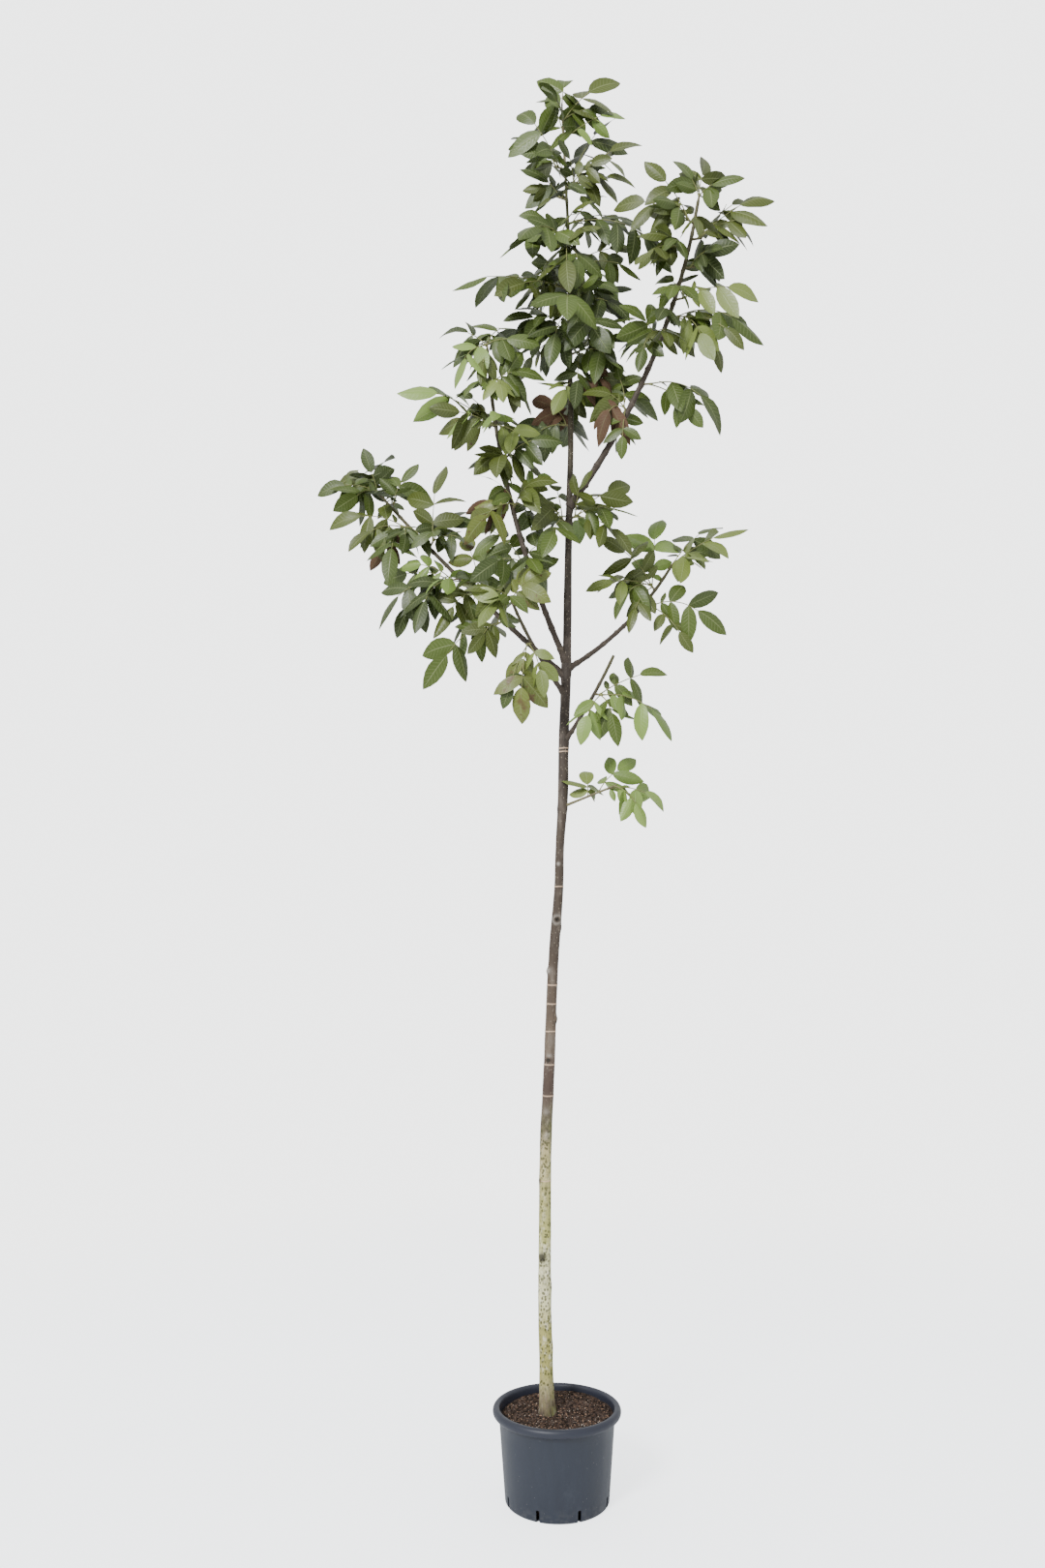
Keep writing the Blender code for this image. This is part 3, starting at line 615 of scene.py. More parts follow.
@dataclass(frozen=True)
class GreenwoodFinish:
    """Leaf stalks, young twigs and buds."""

    name: str
    low: Shade
    high: Shade
    roughness: float = 0.55

    def build(self) -> Material:
        """Green-brown rind, streaked and dotted.

        Returns:
            The material.
        """
        recipe = Recipe(self.name, self.roughness, Specular_IOR_Level=0.4)
        streak = recipe.cloud(120.0, 3.0, 0.3).ease(0.3, 0.7)
        recipe.colour = recipe.mix(streak, linear(self.low), linear(self.high))
        dots = recipe.cells(330.0).ease(0.26, 0.14)
        recipe.coat(dots * 0.4, self.high, 1.5)
        recipe.emboss(streak + dots * 0.5, 0.0004, 0.6)
        return recipe.done()


@dataclass(frozen=True)
class TrunkFinish:
    """Bark that changes from the pale foot of the trunk to its green tip."""

    zones: tuple[tuple[float, Shade], ...] = (
        (0.234, (78, 66, 58)), (0.258, (94, 81, 70)), (0.280, (132, 119, 98)), (0.310, (174, 163, 122)),
        (0.360, (176, 170, 100)), (0.480, (170, 164, 96)), (0.545, (226, 221, 174)),
        (0.670, (228, 224, 182)), (0.740, (184, 182, 110)), (0.860, (180, 174, 116)),
        (0.985, (192, 178, 132)), (1.050, (94, 84, 72)), (1.130, (96, 84, 72)),
        (1.175, (82, 66, 57)), (1.250, (82, 67, 58)), (1.290, (116, 102, 88)),
        (1.400, (98, 84, 70)), (1.600, (71, 61, 51)), (1.950, (74, 64, 54)),
        (2.300, (62, 54, 47)), (2.700, (58, 51, 45)), (3.200, (64, 58, 44)),
        (3.700, (72, 70, 42)), (4.260, (88, 94, 50)),
    )
    scar_heights: tuple[float, ...] = (0.905, 1.157, 1.250, 1.351, 1.434, 1.492, 1.797, 2.226, 2.237)

    def build(self) -> Material:
        """Zones by height, broken by noise, with specks, streaks, breathing pores and ring scars.

        Returns:
            The material.
        """
        recipe = Recipe("trunk_bark", 0.72, Specular_IOR_Level=0.3)
        height = recipe.axis(2)
        waver = recipe.cloud(26.0, 3.0, 0.5) - 0.5
        low, high = self.zones[0][0], self.zones[-1][0]
        share = (height + waver * 0.09 - low) / (high - low)
        stops = [((place - low) / (high - low), linear(shade)) for place, shade in self.zones]
        recipe.colour = recipe.ramp(share, stops)
        young = height.ease(1.02, 1.16)
        pale = 1.0 - young
        blotch = recipe.cloud(70.0, 4.0, 0.45).ease(0.38, 0.68)
        recipe.coat(blotch * pale * 0.45, (140, 138, 86))
        mossy = (recipe.axis(0) + 0.030).ease(0.0, 0.018) * recipe.cloud(45.0, 3.0).ease(0.35, 0.60)
        recipe.coat(mossy * pale * 0.40, (138, 148, 88))
        cream = recipe.cloud(80.0, 4.0, 0.6).ease(0.50, 0.64)
        bare = height.ease(0.28, 0.40) * (height.ease(0.84, 0.66) * 0.35 + 0.20)
        recipe.coat(cream * pale * bare, (240, 235, 212))
        dense = height.ease(0.62, 0.95) * 0.35 + 0.65
        fine_speck = recipe.cloud(420.0, 3.0, 0.8, 0.7).ease(0.54, 0.64)
        coarse_speck = recipe.cloud(80.0, 5.0, 0.7, 0.8).ease(0.52, 0.58)
        speck = fine_speck.top(coarse_speck * 0.6)
        clump = recipe.cloud(42.0, 3.0, 0.7).ease(0.40, 0.62) * 0.75 + 0.25
        recipe.coat(speck * pale * dense * clump, (58, 60, 36))
        dots = recipe.cells(125.0, 0.8).ease(0.50, 0.34)
        dots = dots * recipe.cloud(36.0, 2.0).ease(0.36, 0.50)
        recipe.coat(dots * pale * height.ease(0.26, 0.32) * 0.80, (66, 68, 38))
        streak = recipe.cloud(150.0, 4.0, 0.10, 0.65).ease(0.35, 0.70)
        recipe.coat(streak * young * 0.50, (48, 40, 38))
        bloom = recipe.cloud(34.0, 3.0, 0.35).ease(0.50, 0.72)
        recipe.coat(bloom * young * 0.40, (132, 122, 112))
        pores = recipe.cells(130.0, 0.55).ease(0.24, 0.14)
        recipe.coat(pores * young * 0.6, (150, 140, 122))
        scratch = recipe.cloud(210.0, 3.0, 0.07).ease(0.56, 0.68) * height.ease(0.34, 0.25)
        recipe.coat(scratch * 0.6, (196, 190, 172))
        ring = height * 0.0
        wobble = waver * 0.006
        for place in self.scar_heights:
            ring = ring.top(abs(height + wobble - place).ease(0.0024, 0.0010))
        recipe.coat(ring * 0.80, (214, 184, 156))
        mark = recipe.attribute("mark")
        recipe.coat(mark.ease(0.0, 1.0) * 0.8, (196, 190, 180))
        recipe.coat((0.0 - mark).ease(0.0, 1.0) * 0.9, (34, 30, 22))
        recipe.feed("Roughness", 0.80 - young * 0.18 + bloom * 0.08)
        relief = streak * young * 0.6 + speck * pale * 0.4 + pores * young * 0.8 + scratch * 0.5
        recipe.emboss(relief + recipe.cloud(520.0, 3.0) * 0.5, 0.0009, 0.9)
        return recipe.done()


@dataclass(frozen=True)
class BoughFinish:
    """Young bark of the boughs, brown low down and greener towards their ends."""

    brown: Shade = (66, 57, 49)
    green: Shade = (78, 76, 46)

    def build(self) -> Material:
        """Brown bark that turns green with the attribute "youth", with pores and leaf scars.

        Returns:
            The material.
        """
        recipe = Recipe("bough_bark", 0.6, Specular_IOR_Level=0.35)
        youth = recipe.attribute("youth") + (recipe.cloud(60.0) - 0.5) * 0.3
        recipe.colour = recipe.mix(youth.ease(0.35, 1.0), linear(self.brown), linear(self.green))
        streak = recipe.cloud(170.0, 3.0, 0.4, 0.65).ease(0.35, 0.70)
        recipe.coat(streak * 0.35, (46, 39, 35))
        pores = recipe.cells(240.0, 0.6).ease(0.22, 0.12)
        recipe.coat(pores * 0.6, (132, 122, 104))
        mark = recipe.attribute("mark")
        recipe.coat(mark.ease(0.0, 1.0) * 0.6, (128, 118, 100))
        recipe.coat((0.0 - mark).ease(0.0, 1.0) * 0.8, (48, 40, 35))
        recipe.feed("Roughness", 0.68 - youth.ease(0.0, 1.0) * 0.12)
        recipe.emboss(streak * 0.6 + pores * 0.7 + recipe.cloud(600.0, 2.0) * 0.4, 0.0006, 0.8)
        return recipe.done()


@dataclass(frozen=True)
class PlasticFinish:
    """Slate-coloured moulded plastic of the pot."""

    wall: Shade = (37, 42, 53)
    # Painted shade laid over the rim band
    rim: Shade = (38, 41, 53)
    rim_foot: float = 0.236

    def build(self) -> Material:
        """Matt plastic with a fine grain, faint upright flow marks, scuffs, dust and a painted shade over the
        rim.

        Returns:
            The material.
        """
        recipe = Recipe("slate_plastic", 0.5, Specular_IOR_Level=0.42)
        flow = recipe.cloud(38.0, 3.0, 0.14).ease(0.3, 0.7)
        recipe.colour = recipe.mix(flow, linear(self.wall, 0.92), linear(self.wall, 1.08))
        dust = recipe.cloud(17.0, 5.0, 0.6, 0.7).ease(0.55, 0.80)
        recipe.coat(dust * 0.22, (78, 83, 94))
        scuff = recipe.cloud(75.0, 4.0, 0.30, 0.75).ease(0.69, 0.76)
        recipe.coat(scuff * 0.55, (108, 113, 124))
        fleck = recipe.cells(55.0).ease(0.07, 0.03)
        recipe.coat(fleck * 0.5, (138, 138, 136))
        # Painted shade: above rim_foot the rim is laid over in plain slate, darker than the dusty, scuffed
        # wall, to hold down the light it catches from above.
        upper = recipe.axis(2).ease(self.rim_foot - 0.001, self.rim_foot)
        recipe.coat(upper * 0.8, self.rim)
        splash = recipe.axis(2).ease(0.05, 0.0) * recipe.cloud(60.0, 4.0).ease(0.45, 0.65)
        recipe.coat(splash * 0.16, (112, 110, 108))
        recipe.feed("Roughness", flow * 0.08 + dust * 0.16 + scuff * 0.1 + 0.40)
        recipe.emboss(recipe.cloud(900.0, 2.0) * 0.5 + scuff + flow * 0.3, 0.0003, 0.6)
        return recipe.done()


@dataclass(frozen=True)
class EarthFinish:
    """Potting soil and the bits scattered on it."""

    name: str
    dark: Shade
    light: Shade
    scale: float = 300.0
    relief: float = 0.0015

    def build(self) -> Material:
        """Rough, crumbly ground of two colours.

        Returns:
            The material.
        """
        recipe = Recipe(self.name, 0.92, Specular_IOR_Level=0.15)
        crumb = recipe.cloud(self.scale, 5.0, roughness=0.7)
        recipe.colour = recipe.mix(crumb.ease(0.40, 0.66), linear(self.dark), linear(self.light))
        damp = recipe.cloud(22.0, 2.0).ease(0.4, 0.65)
        recipe.coat(damp * 0.3, self.dark, 0.8)
        recipe.feed("Roughness", crumb * 0.15 + 0.82)
        recipe.emboss(crumb, self.relief)
        return recipe.done()


@dataclass(frozen=True)
class FloorFinish:
    """Pale studio floor."""

    shade: Shade = (244, 247, 250)
    glow: float = 2.2
    fade_start: float = 1.0
    fade_end: float = 4.5

    def build(self) -> Material:
        """Pale matt paint with the faintest clouding.

        Returns:
            The material.
        """
        recipe = Recipe("studio_floor", 0.75, Specular_IOR_Level=0.2)
        cloudy = recipe.cloud(1.2, 3.0).ease(0.3, 0.7)
        recipe.colour = recipe.mix(cloudy, linear(self.shade), linear(self.shade, 0.975))
        spot = recipe.place()
        away = recipe.axis(0, spot) * recipe.axis(0, spot) + recipe.axis(1, spot) * recipe.axis(1, spot)
        recipe.feed("Alpha", away.ease(self.fade_end ** 2, self.fade_start ** 2))
        seen = recipe.node("ShaderNodeLightPath", output="Is Camera Ray")
        recipe.feed("Emission Color", recipe.mix(seen, linear((0, 0, 0)), linear(self.shade)))
        recipe.shader.inputs["Emission Strength"].default_value = self.glow
        return recipe.done()


LEAF_FINISHES = (
    LeafFinish(Tone.DEEP, (48, 60, 20), (56, 70, 26), (86, 98, 58)),
    LeafFinish(Tone.MID, (60, 75, 22), (70, 86, 30), (98, 110, 66)),
    LeafFinish(Tone.OLIVE, (77, 86, 31), (68, 79, 28), (108, 116, 72)),
    LeafFinish(Tone.FRESH, (100, 126, 54), (114, 138, 66), (130, 150, 92), veins=0.16),
    LeafFinish(Tone.PALE, (116, 132, 68), (104, 118, 54), (138, 150, 104)),
    LeafFinish(Tone.SPOTTED, (84, 98, 38), (98, 106, 44), (118, 124, 78), spots=1.0),
    LeafFinish(Tone.DRY, (94, 68, 46), (76, 54, 38), (118, 94, 70), 0.75, 0.1),
)


# ---- shared making

def clear_selection() -> None:
    """Deselect every object, the CAD nodes among them."""
    bpy.ops.object.select_all(action="DESELECT")


def work_on(item: Piece) -> None:
    """Make one object the only selected and active one.

    Args:
        item: The object.
    """
    clear_selection()
    item.select_set(True)
    bpy.context.view_layer.objects.active = item


def settle(item: Piece) -> None:
    """Move an object's place, turn and size into its mesh."""
    work_on(item)
    bpy.ops.object.transform_apply(location=True, rotation=True, scale=True)


def hand_over(item: Piece, slot: str, nodes: Sequence[str], *finishes: Material) -> None:
    """Dress a finished piece, set it on the body and hide the CAD nodes that it replaces.

    Args:
        item: The piece.
        slot: Not used.
        nodes: CAD nodes that it replaces.
        finishes: Materials in slot order.
    """
    settle(item)
    item.data.materials.clear()
    for finish in finishes:
        item.data.materials.append(finish)
    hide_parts(*nodes)
    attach(item, BODY)
    log.info("%s: %d faces, %d points", item.name, len(item.data.polygons), len(item.data.vertices))


def mesh_piece(name: str, points: np.ndarray | list, faces: list, edges: Sequence = ()) -> Piece:
    """Make a new object in the scene.

    Args:
        name: Its name.
        points: Its points.
        faces: Its faces, as indices of points.
        edges: Its edges, where it has no faces yet.

    Returns:
        The object.
    """
    mesh = bpy.data.meshes.new(name)
    mesh.from_pydata([tuple(point) for point in points], edges, faces)
    item = bpy.data.objects.new(name, mesh)
    bpy.context.scene.collection.objects.link(item)
    return item


def points_of(item: Piece) -> np.ndarray:
    """Read a mesh's points.

    Args:
        item: Its object.

    Returns:
        One row for each point.
    """
    points = np.empty(len(item.data.vertices) * 3)
    item.data.vertices.foreach_get("co", points)
    return points.reshape(-1, 3)


def heading(azimuth: float, rise: float) -> Vector:
    """Unit vector for an azimuth from +X towards +Y and a rise above level, in degrees."""
    turn, lift = math.radians(azimuth), math.radians(rise)
    return Vector((math.cos(lift) * math.cos(turn), math.cos(lift) * math.sin(turn), math.sin(lift)))


def flowing(places: np.ndarray, knots: Sequence[float], values: np.ndarray) -> np.ndarray:
    """Smooth curve through values at rising knots, without overshoot worth seeing.

    Args:
        places: Where to read the curve.
        knots: Rising positions of the values.
        values: One row of values for each knot.

    Returns:
        One row for each place.
    """
    knots = np.asarray(knots, float)
    values = np.asarray(values, float)
    slopes = np.gradient(values, knots, axis=0)
    step = np.clip(np.searchsorted(knots, places, side="right") - 1, 0, len(knots) - 2)
    gap = knots[step + 1] - knots[step]
    share = ((places - knots[step]) / gap)[:, None]
    gap = gap[:, None]
    low = values[step] * (1 + 2 * share) * (1 - share) ** 2 + slopes[step] * gap * share * (1 - share) ** 2
    high = values[step + 1] * (3 - 2 * share) * share ** 2 - slopes[step + 1] * gap * (1 - share) * share ** 2
    return low + high


def rolled_tube(name: str, sides: int, rings: int,
                shape: Callable[[np.ndarray, np.ndarray], np.ndarray]) -> Piece:
    """Roll a subdivided grid round a limb, weld its seam and close its ends.

    Args:
        name: The piece's name.
        sides: Faces round the limb.
        rings: Faces along it.
        shape: Gives points for shares round and along.

    Returns:
        The closed limb.
    """
    clear_selection()
    bpy.ops.mesh.primitive_grid_add(x_subdivisions=sides, y_subdivisions=rings, size=1.0)
    item = bpy.context.object
    item.name = name
    item.data.name = name
    flat = points_of(item) + 0.5
    item.data.vertices.foreach_set("co", shape(flat[:, 0], flat[:, 1]).ravel())
    item.data.update()
    bpy.ops.object.mode_set(mode="EDIT")
    bpy.ops.mesh.select_all(action="SELECT")
    bpy.ops.mesh.remove_doubles(threshold=SEAM)
    bpy.ops.mesh.fill_holes(sides=0)
    bpy.ops.mesh.select_all(action="SELECT")
    bpy.ops.mesh.normals_make_consistent(inside=False)
    bpy.ops.object.mode_set(mode="OBJECT")
    bpy.ops.object.shade_smooth_by_angle(angle=math.radians(50))
    return item


def rough(points: np.ndarray, scale: float, seed: float = 0.0) -> np.ndarray:
    """Perlin noise of -1 to 1 at each point.

    Args:
        points: Rows of coordinates.
        scale: Features a metre.
        seed: Shift between unlike patterns.

    Returns:
        One number for each point.
    """
    moved = points * scale + seed
    return np.array([noise.noise(Vector(row)) for row in moved])


def bell(away: np.ndarray, spread: float) -> np.ndarray:
    """One at zero, falling off softly over `spread`."""
    return np.exp(-(away / spread) ** 2)


def turn_gap(angles: np.ndarray, bearing: float) -> np.ndarray:
    """Difference between angles and a bearing in degrees, as radians of -pi to pi."""
    return (angles - math.radians(bearing) + math.pi) % (2 * math.pi) - math.pi


def framed(points: np.ndarray) -> tuple[np.ndarray, np.ndarray]:
    """Two cross directions at each point of a path, which don't twist along it.

    Args:
        points: Rows along the path.

    Returns:
        The two sets of unit vectors.
    """
    along = np.gradient(points, axis=0)
    along /= np.linalg.norm(along, axis=1)[:, None]
    first = np.cross(along, (0.0, 1.0, 0.0))
    first /= np.linalg.norm(first, axis=1)[:, None]
    return first, np.cross(along, first)


# ---- limbs

def trunk_path() -> list[tuple[Vector, float]]:
    """Points and radii up the trunk."""
    return [(Vector((sway, TRUNK_DEPTH, height)), radius) for height, sway, radius in TRUNK_LINE]


def bough_path(bough: Bough) -> list[tuple[Vector, float]]:
    """Follow a bough, which bends evenly from its low rise to its high one.

    Args:
        bough: Its sizes.

    Returns:
        Points and radii along it.
    """
    path = [(place_on("trunk", bough.height)[0], bough.base_radius)]
    for step in range(BOUGH_STEPS):
        rise = bough.rise_low + (bough.rise_high - bough.rise_low) * (step + 0.5) / BOUGH_STEPS
        point = path[-1][0] + heading(bough.azimuth, rise) * (bough.length / BOUGH_STEPS)
        radius = bough.base_radius + (bough.tip_radius - bough.base_radius) * (step + 1) / BOUGH_STEPS
        path.append((point, radius))
    return path


def place_on(host: str, place: float) -> tuple[Vector, Vector, float]:
    """Find a place on a limb.

    Args:
        host: "trunk" or a bough's name.
        place: Height on the trunk, or share of a bough's length.

    Returns:
        Point, direction and radius there.
    """
    if host == "trunk":
        path = trunk_path()
        heights = [height for height, _, _ in TRUNK_LINE]
        step = next(i for i in range(len(path) - 1) if place <= heights[i + 1])
        share = (place - heights[step]) / (heights[step + 1] - heights[step])
    else:
        path = bough_path(BOUGHS[host])
        step = min(int(place * BOUGH_STEPS), BOUGH_STEPS - 1)
        share = place * BOUGH_STEPS - step
    (low, thick), (high, thin) = path[step], path[step + 1]
    return low.lerp(high, share), (high - low).normalized(), thick + (thin - thick) * share


@dataclass
class Trunk:
    """The trunk with its flared foot, knots, ring scars and the collars of its boughs."""

    sides: int = 48
    rings: int = 1500
    start: float = 0.006
    flare: float = 0.0035
    flare_height: float = 0.035
    # Share, number and turn of the ridges round the foot
    lobes: Rows = ((0.45, 3, 0.6), (0.35, 5, 2.1), (0.2, 8, 0.0))
    swell: float = 0.0014
    swell_height: float = 1.52
    swell_spread: float = 0.30
    usual_radius: float = 0.018
    # Depth, stretch, features a metre and seed of the bark's grain, coarse first
    grain: Rows = ((0.0008, 0.5, 24.0, 0.0), (0.00035, 0.35, 85.0, 3.7))
    fine_grain: tuple[float, ...] = (0.00016, 0.8, 260.0, 9.1)
    scar_rise: float = 0.0005
    scar_spread: float = 0.0035
    # Place above the bough, half-height, half-width in radians and share of the bough's radius
    collars: Rows = ((0.004, 0.022, 0.75, 0.42), (-0.016, 0.010, 0.60, 0.14))
    shoot_rise: float = 0.0014
    shoot_drop: float = 0.006
    shoot_spread: float = 0.012
    shoot_top: float = 4.2
    # Height, bearing, half-height, half-width in radians, rise, hollow at its middle
    knots: Rows = (
        (0.423, 350, 0.022, 0.80, 0.0022, 0.0), (0.596, 355, 0.020, 0.70, 0.0018, 0.0),
        (0.682, 240, 0.012, 0.60, 0.0030, 0.0045), (0.630, 250, 0.006, 2.60, 0.0012, 0.0),
        (0.905, 200, 0.012, 0.50, 0.0010, 0.0), (1.110, 262, 0.016, 0.50, 0.0024, 0.0),
        (1.265, 258, 0.007, 0.40, 0.0016, 0.0022), (1.388, 345, 0.012, 0.70, 0.0045, 0.0),
        (1.536, 195, 0.010, 0.65, 0.0050, 0.0), (1.694, 278, 0.015, 0.85, 0.0045, 0.0070),
        (1.668, 335, 0.013, 0.70, 0.0032, 0.0), (1.868, 255, 0.008, 0.50, 0.0012, 0.0),
        (2.262, 285, 0.008, 0.50, 0.0016, 0.0020), (1.330, 90, 0.010, 0.50, 0.0018, 0.0024),
        (0.800, 100, 0.010, 0.50, 0.0016, 0.0022), (1.760, 110, 0.012, 0.60, 0.0020, 0.0),
    )
    # Height, bearing and size of pale (plus) and dark (minus) marks
    marks: Rows = (
        (0.682, 240, 0.0130, -1.0), (0.690, 252, 0.0190, -0.35), (0.905, 205, 0.009, -0.9),
        (0.835, 290, 0.007, -0.7), (0.630, 250, 0.006, -0.4), (1.265, 258, 0.006, -2.0),
        (1.275, 264, 0.010, 0.5), (1.110, 262, 0.013, 0.35), (1.376, 340, 0.009, -0.8),
        (1.536, 200, 0.011, 0.6), (1.694, 278, 0.0135, 1.1), (1.694, 278, 0.0065, -3.2),
        (1.868, 255, 0.007, 0.6), (2.262, 285, 0.006, -0.6), (1.036, 270, 0.015, 0.3),
        (1.330, 90, 0.006, -0.8), (0.800, 100, 0.006, -0.8),
    )
    mark_break: float = 0.4
    mark_grain: float = 500.0
    hollow_pinch: float = 7.0
    scars: tuple[float, ...] = TrunkFinish.scar_heights

    def relief(self, points: np.ndarray, heights: np.ndarray, angles: np.ndarray,
               radius: np.ndarray) -> np.ndarray:
        """How far the bark stands off the plain taper.

        Args:
            points: Points of the plain trunk.
            heights: Their heights.
            angles: Their bearings in radians.
            radius: The plain radius there.

        Returns:
            Outward distances in metres.
        """
        foot = heights - TRUNK_LINE[0][0]
        ridges = sum(share * np.sin(angles * number + turn) for share, number, turn in self.lobes)
        rise = self.flare * ridges * np.exp(-foot / self.flare_height)
        thick = radius / self.usual_radius
        rise += self.swell * bell(heights - self.swell_height, self.swell_spread)
        for depth, stretch, scale, seed in self.grain:
            rise += depth * thick * rough(points * (1, 1, stretch), scale, seed)
        depth, stretch, scale, seed = self.fine_grain
        rise += depth * rough(points * (1, 1, stretch), scale, seed)
        for height in self.scars:
            rise += self.scar_rise * bell(heights - height, self.scar_spread)
        for height, bearing, tall, wide, lift, hollow in self.knots:
            near = ((heights - height) / tall) ** 2 + (turn_gap(angles, bearing) / wide) ** 2
            rise += lift * np.exp(-near) - hollow * np.exp(-near * self.hollow_pinch)
        for bough in BOUGHS.values():
            bulge = np.zeros(len(heights))
            for above, tall, wide, share in self.collars:
                near = ((heights - bough.height - above) / tall) ** 2
                near += (turn_gap(angles, bough.azimuth) / wide) ** 2
                bulge += share * np.exp(-near)
            rise += bough.base_radius * bulge
        for mass in MASSES.values():
            if mass.host == "trunk" and mass.place < self.shoot_top:
                rise += self.shoot_rise * bell(heights - mass.place + self.shoot_drop, self.shoot_spread)
        return rise

    def build(self) -> None:
        """Roll the trunk, raise its relief, mark it and dress it."""
        heights = [row[0] for row in TRUNK_LINE]
        table = np.array([(row[1], row[2]) for row in TRUNK_LINE])
        low, high = heights[0] - self.start, heights[-1]

        def shape(around: np.ndarray, along: np.ndarray) -> np.ndarray:
            """Lay the rolled grid's points round the trunk.

            Args:
                around: Shares of a turn.
                along: Shares of the height.

            Returns:
                The points.
            """
            level = low + (high - low) * along
            sway, radius = flowing(np.clip(level, heights[0], high), heights, table).T
            angles = around * 2 * math.pi
            ring = np.stack([np.cos(angles), np.sin(angles), np.zeros_like(angles)], 1)
            spine = np.stack([sway, np.full_like(sway, TRUNK_DEPTH), level], 1)
            plain = spine + ring * radius[:, None]
            return plain + ring * self.relief(plain, level, angles, radius)[:, None]

        item = rolled_tube("trunk_bark", self.sides, self.rings, shape)
        points = points_of(item)
        sway = np.interp(points[:, 2], heights, table[:, 0])
        radius = np.interp(points[:, 2], heights, table[:, 1])
        angles = np.arctan2(points[:, 1] - TRUNK_DEPTH, points[:, 0] - sway)
        kept = np.zeros(len(points))
        for height, bearing, size, weight in self.marks:
            near = (points[:, 2] - height) ** 2 + (turn_gap(angles, bearing) * radius) ** 2
            broken = 1.0 + self.mark_break * rough(points, self.mark_grain)
            kept += weight * np.exp(-near / size ** 2) * broken
        item.data.attributes.new("mark", "FLOAT", "POINT").data.foreach_set("value", kept)
        hand_over(item, "bark", ["trunk"], TrunkFinish().build())


@dataclass
class Boughs:
    """The boughs, each a limb of its own with a collar, joints, leaf scars and a young green end."""

    sides: int = 20
    ring_gap: float = 0.0035
    bark: float = 0.0011
    first_joint: float = 0.05
    last_joint: float = 0.02
    joint_gap: float = 0.062
    gap_variety: Range = (0.6, 1.3)
    scar_variety: Range = (0.7, 1.2)
    coarse_grain: float = 0.07
    fine_grain: float = 0.00018
    # Place along the bough, spread and share of its radius
    collar: tuple[float, ...] = (0.010, 0.020, 0.55)
    joint_spread: float = 0.007
    joint_rise: float = 0.13
    # Place below the joint, half-length, half-width in radians and share of the radius
    scar: tuple[float, ...] = (0.004, 0.006, 0.55, 0.30)
    # Strength and pinch of a scar's pale rim and of its dark middle
    scar_rim: tuple[float, float] = (1.1, 1.5)
    scar_middle: tuple[float, float] = (1.8, 7.0)
    # Place above the joint, spread and strength of the pale ring
    ring: tuple[float, ...] = (0.004, 0.003, 0.35)

    def build(self) -> None:
        """Roll and dress every bough."""
        finish = BoughFinish().build()
        for name, bough in BOUGHS.items():
            self.bough(name, bough, finish)

    def bough(self, name: str, bough: Bough, finish: Material) -> None:
        """Roll one bough along its bending path.

        Args:
            name: Its CAD node.
            bough: Its sizes.
            finish: Its bark.
        """
        path = bough_path(bough)
        table = np.array([(*point, radius) for point, radius in path])
        knots = np.linspace(0.0, 1.0, len(path))
        dice = random.Random("joints " + name)
        joints = []
        reach = self.first_joint
        while reach < bough.length - self.last_joint:
            joints.append((reach, dice.uniform(0, 360), dice.uniform(*self.scar_variety)))
            reach += self.joint_gap * dice.uniform(*self.gap_variety)
        rings = int(bough.length / self.ring_gap)
        marks: dict[str, np.ndarray] = {}

        def shape(around: np.ndarray, along: np.ndarray) -> np.ndarray:
            """Lay the rolled grid's points round the bough and note its marks.

            Args:
                around: Shares of a turn.
                along: Shares of the length.

            Returns:
                The points.
            """
            steps = np.linspace(0.0, 1.0, rings + 1)
            line = flowing(steps, knots, table)
            first, second = framed(line[:, :3])
            row = np.clip(np.rint(along * rings).astype(int), 0, rings)
            angles = around * 2 * math.pi
            ring = first[row] * np.cos(angles)[:, None] + second[row] * np.sin(angles)[:, None]
            radius = line[row, 3] + self.bark
            spot = along * bough.length
            plain = line[row, :3] + ring * radius[:, None]
            rise = radius * self.coarse_grain * rough(plain, 45.0)
            rise += self.fine_grain * rough(plain, 190.0, 5.0)
            place, spread, share = self.collar
            rise += radius * share * bell(spot - place, spread)
            mark = np.zeros(len(spot))
            below, tall, wide, share = self.scar
            (rim, rim_pinch), (middle, middle_pinch) = self.scar_rim, self.scar_middle
            above, band, pale = self.ring
            for reach, bearing, size in joints:
                rise += radius * self.joint_rise * bell(spot - reach, self.joint_spread)
                near = ((spot - reach + below) / tall) ** 2 + (turn_gap(angles, bearing) / wide) ** 2
                rise += radius * share * size * np.exp(-near)
                mark += rim * np.exp(-near * rim_pinch) - middle * np.exp(-near * middle_pinch)
                mark += pale * bell(spot - reach - above, band)
            marks["mark"] = mark
            marks["youth"] = along
            return plain + ring * rise[:, None]

        item = rolled_tube(name + "_bark", self.sides, rings, shape)
        columns = self.sides + 1
        keep = np.array([i for i in range(columns * (rings + 1)) if i % columns != self.sides])
        for key, values in marks.items():
            item.data.attributes.new(key, "FLOAT", "POINT").data.foreach_set("value", values[keep])
        hand_over(item, "bark", [name], finish)


# ---- foliage

def stalk_path(foot: Vector, azimuth: float, rise: float, length: float,
               droop: float) -> tuple[list[Vector], list[Vector]]:
    """Follow a leaf stalk that bends down evenly.

    Args:
        foot: Where it starts.
        azimuth: Its bearing in degrees.
        rise: Its mean rise in degrees.
        length: Its length.
        droop: How many degrees it bends.

    Returns:
        Points and headings along it.
    """
    points, headings = [foot], []
    for step in range(STALK_STEPS):
        along = heading(azimuth, rise + droop * (0.5 - (step + 0.5) / STALK_STEPS))
        headings.append(along)
        points.append(points[-1] + along * (length / STALK_STEPS))
    headings.append(heading(azimuth, rise - droop * 0.5))
    return points, headings


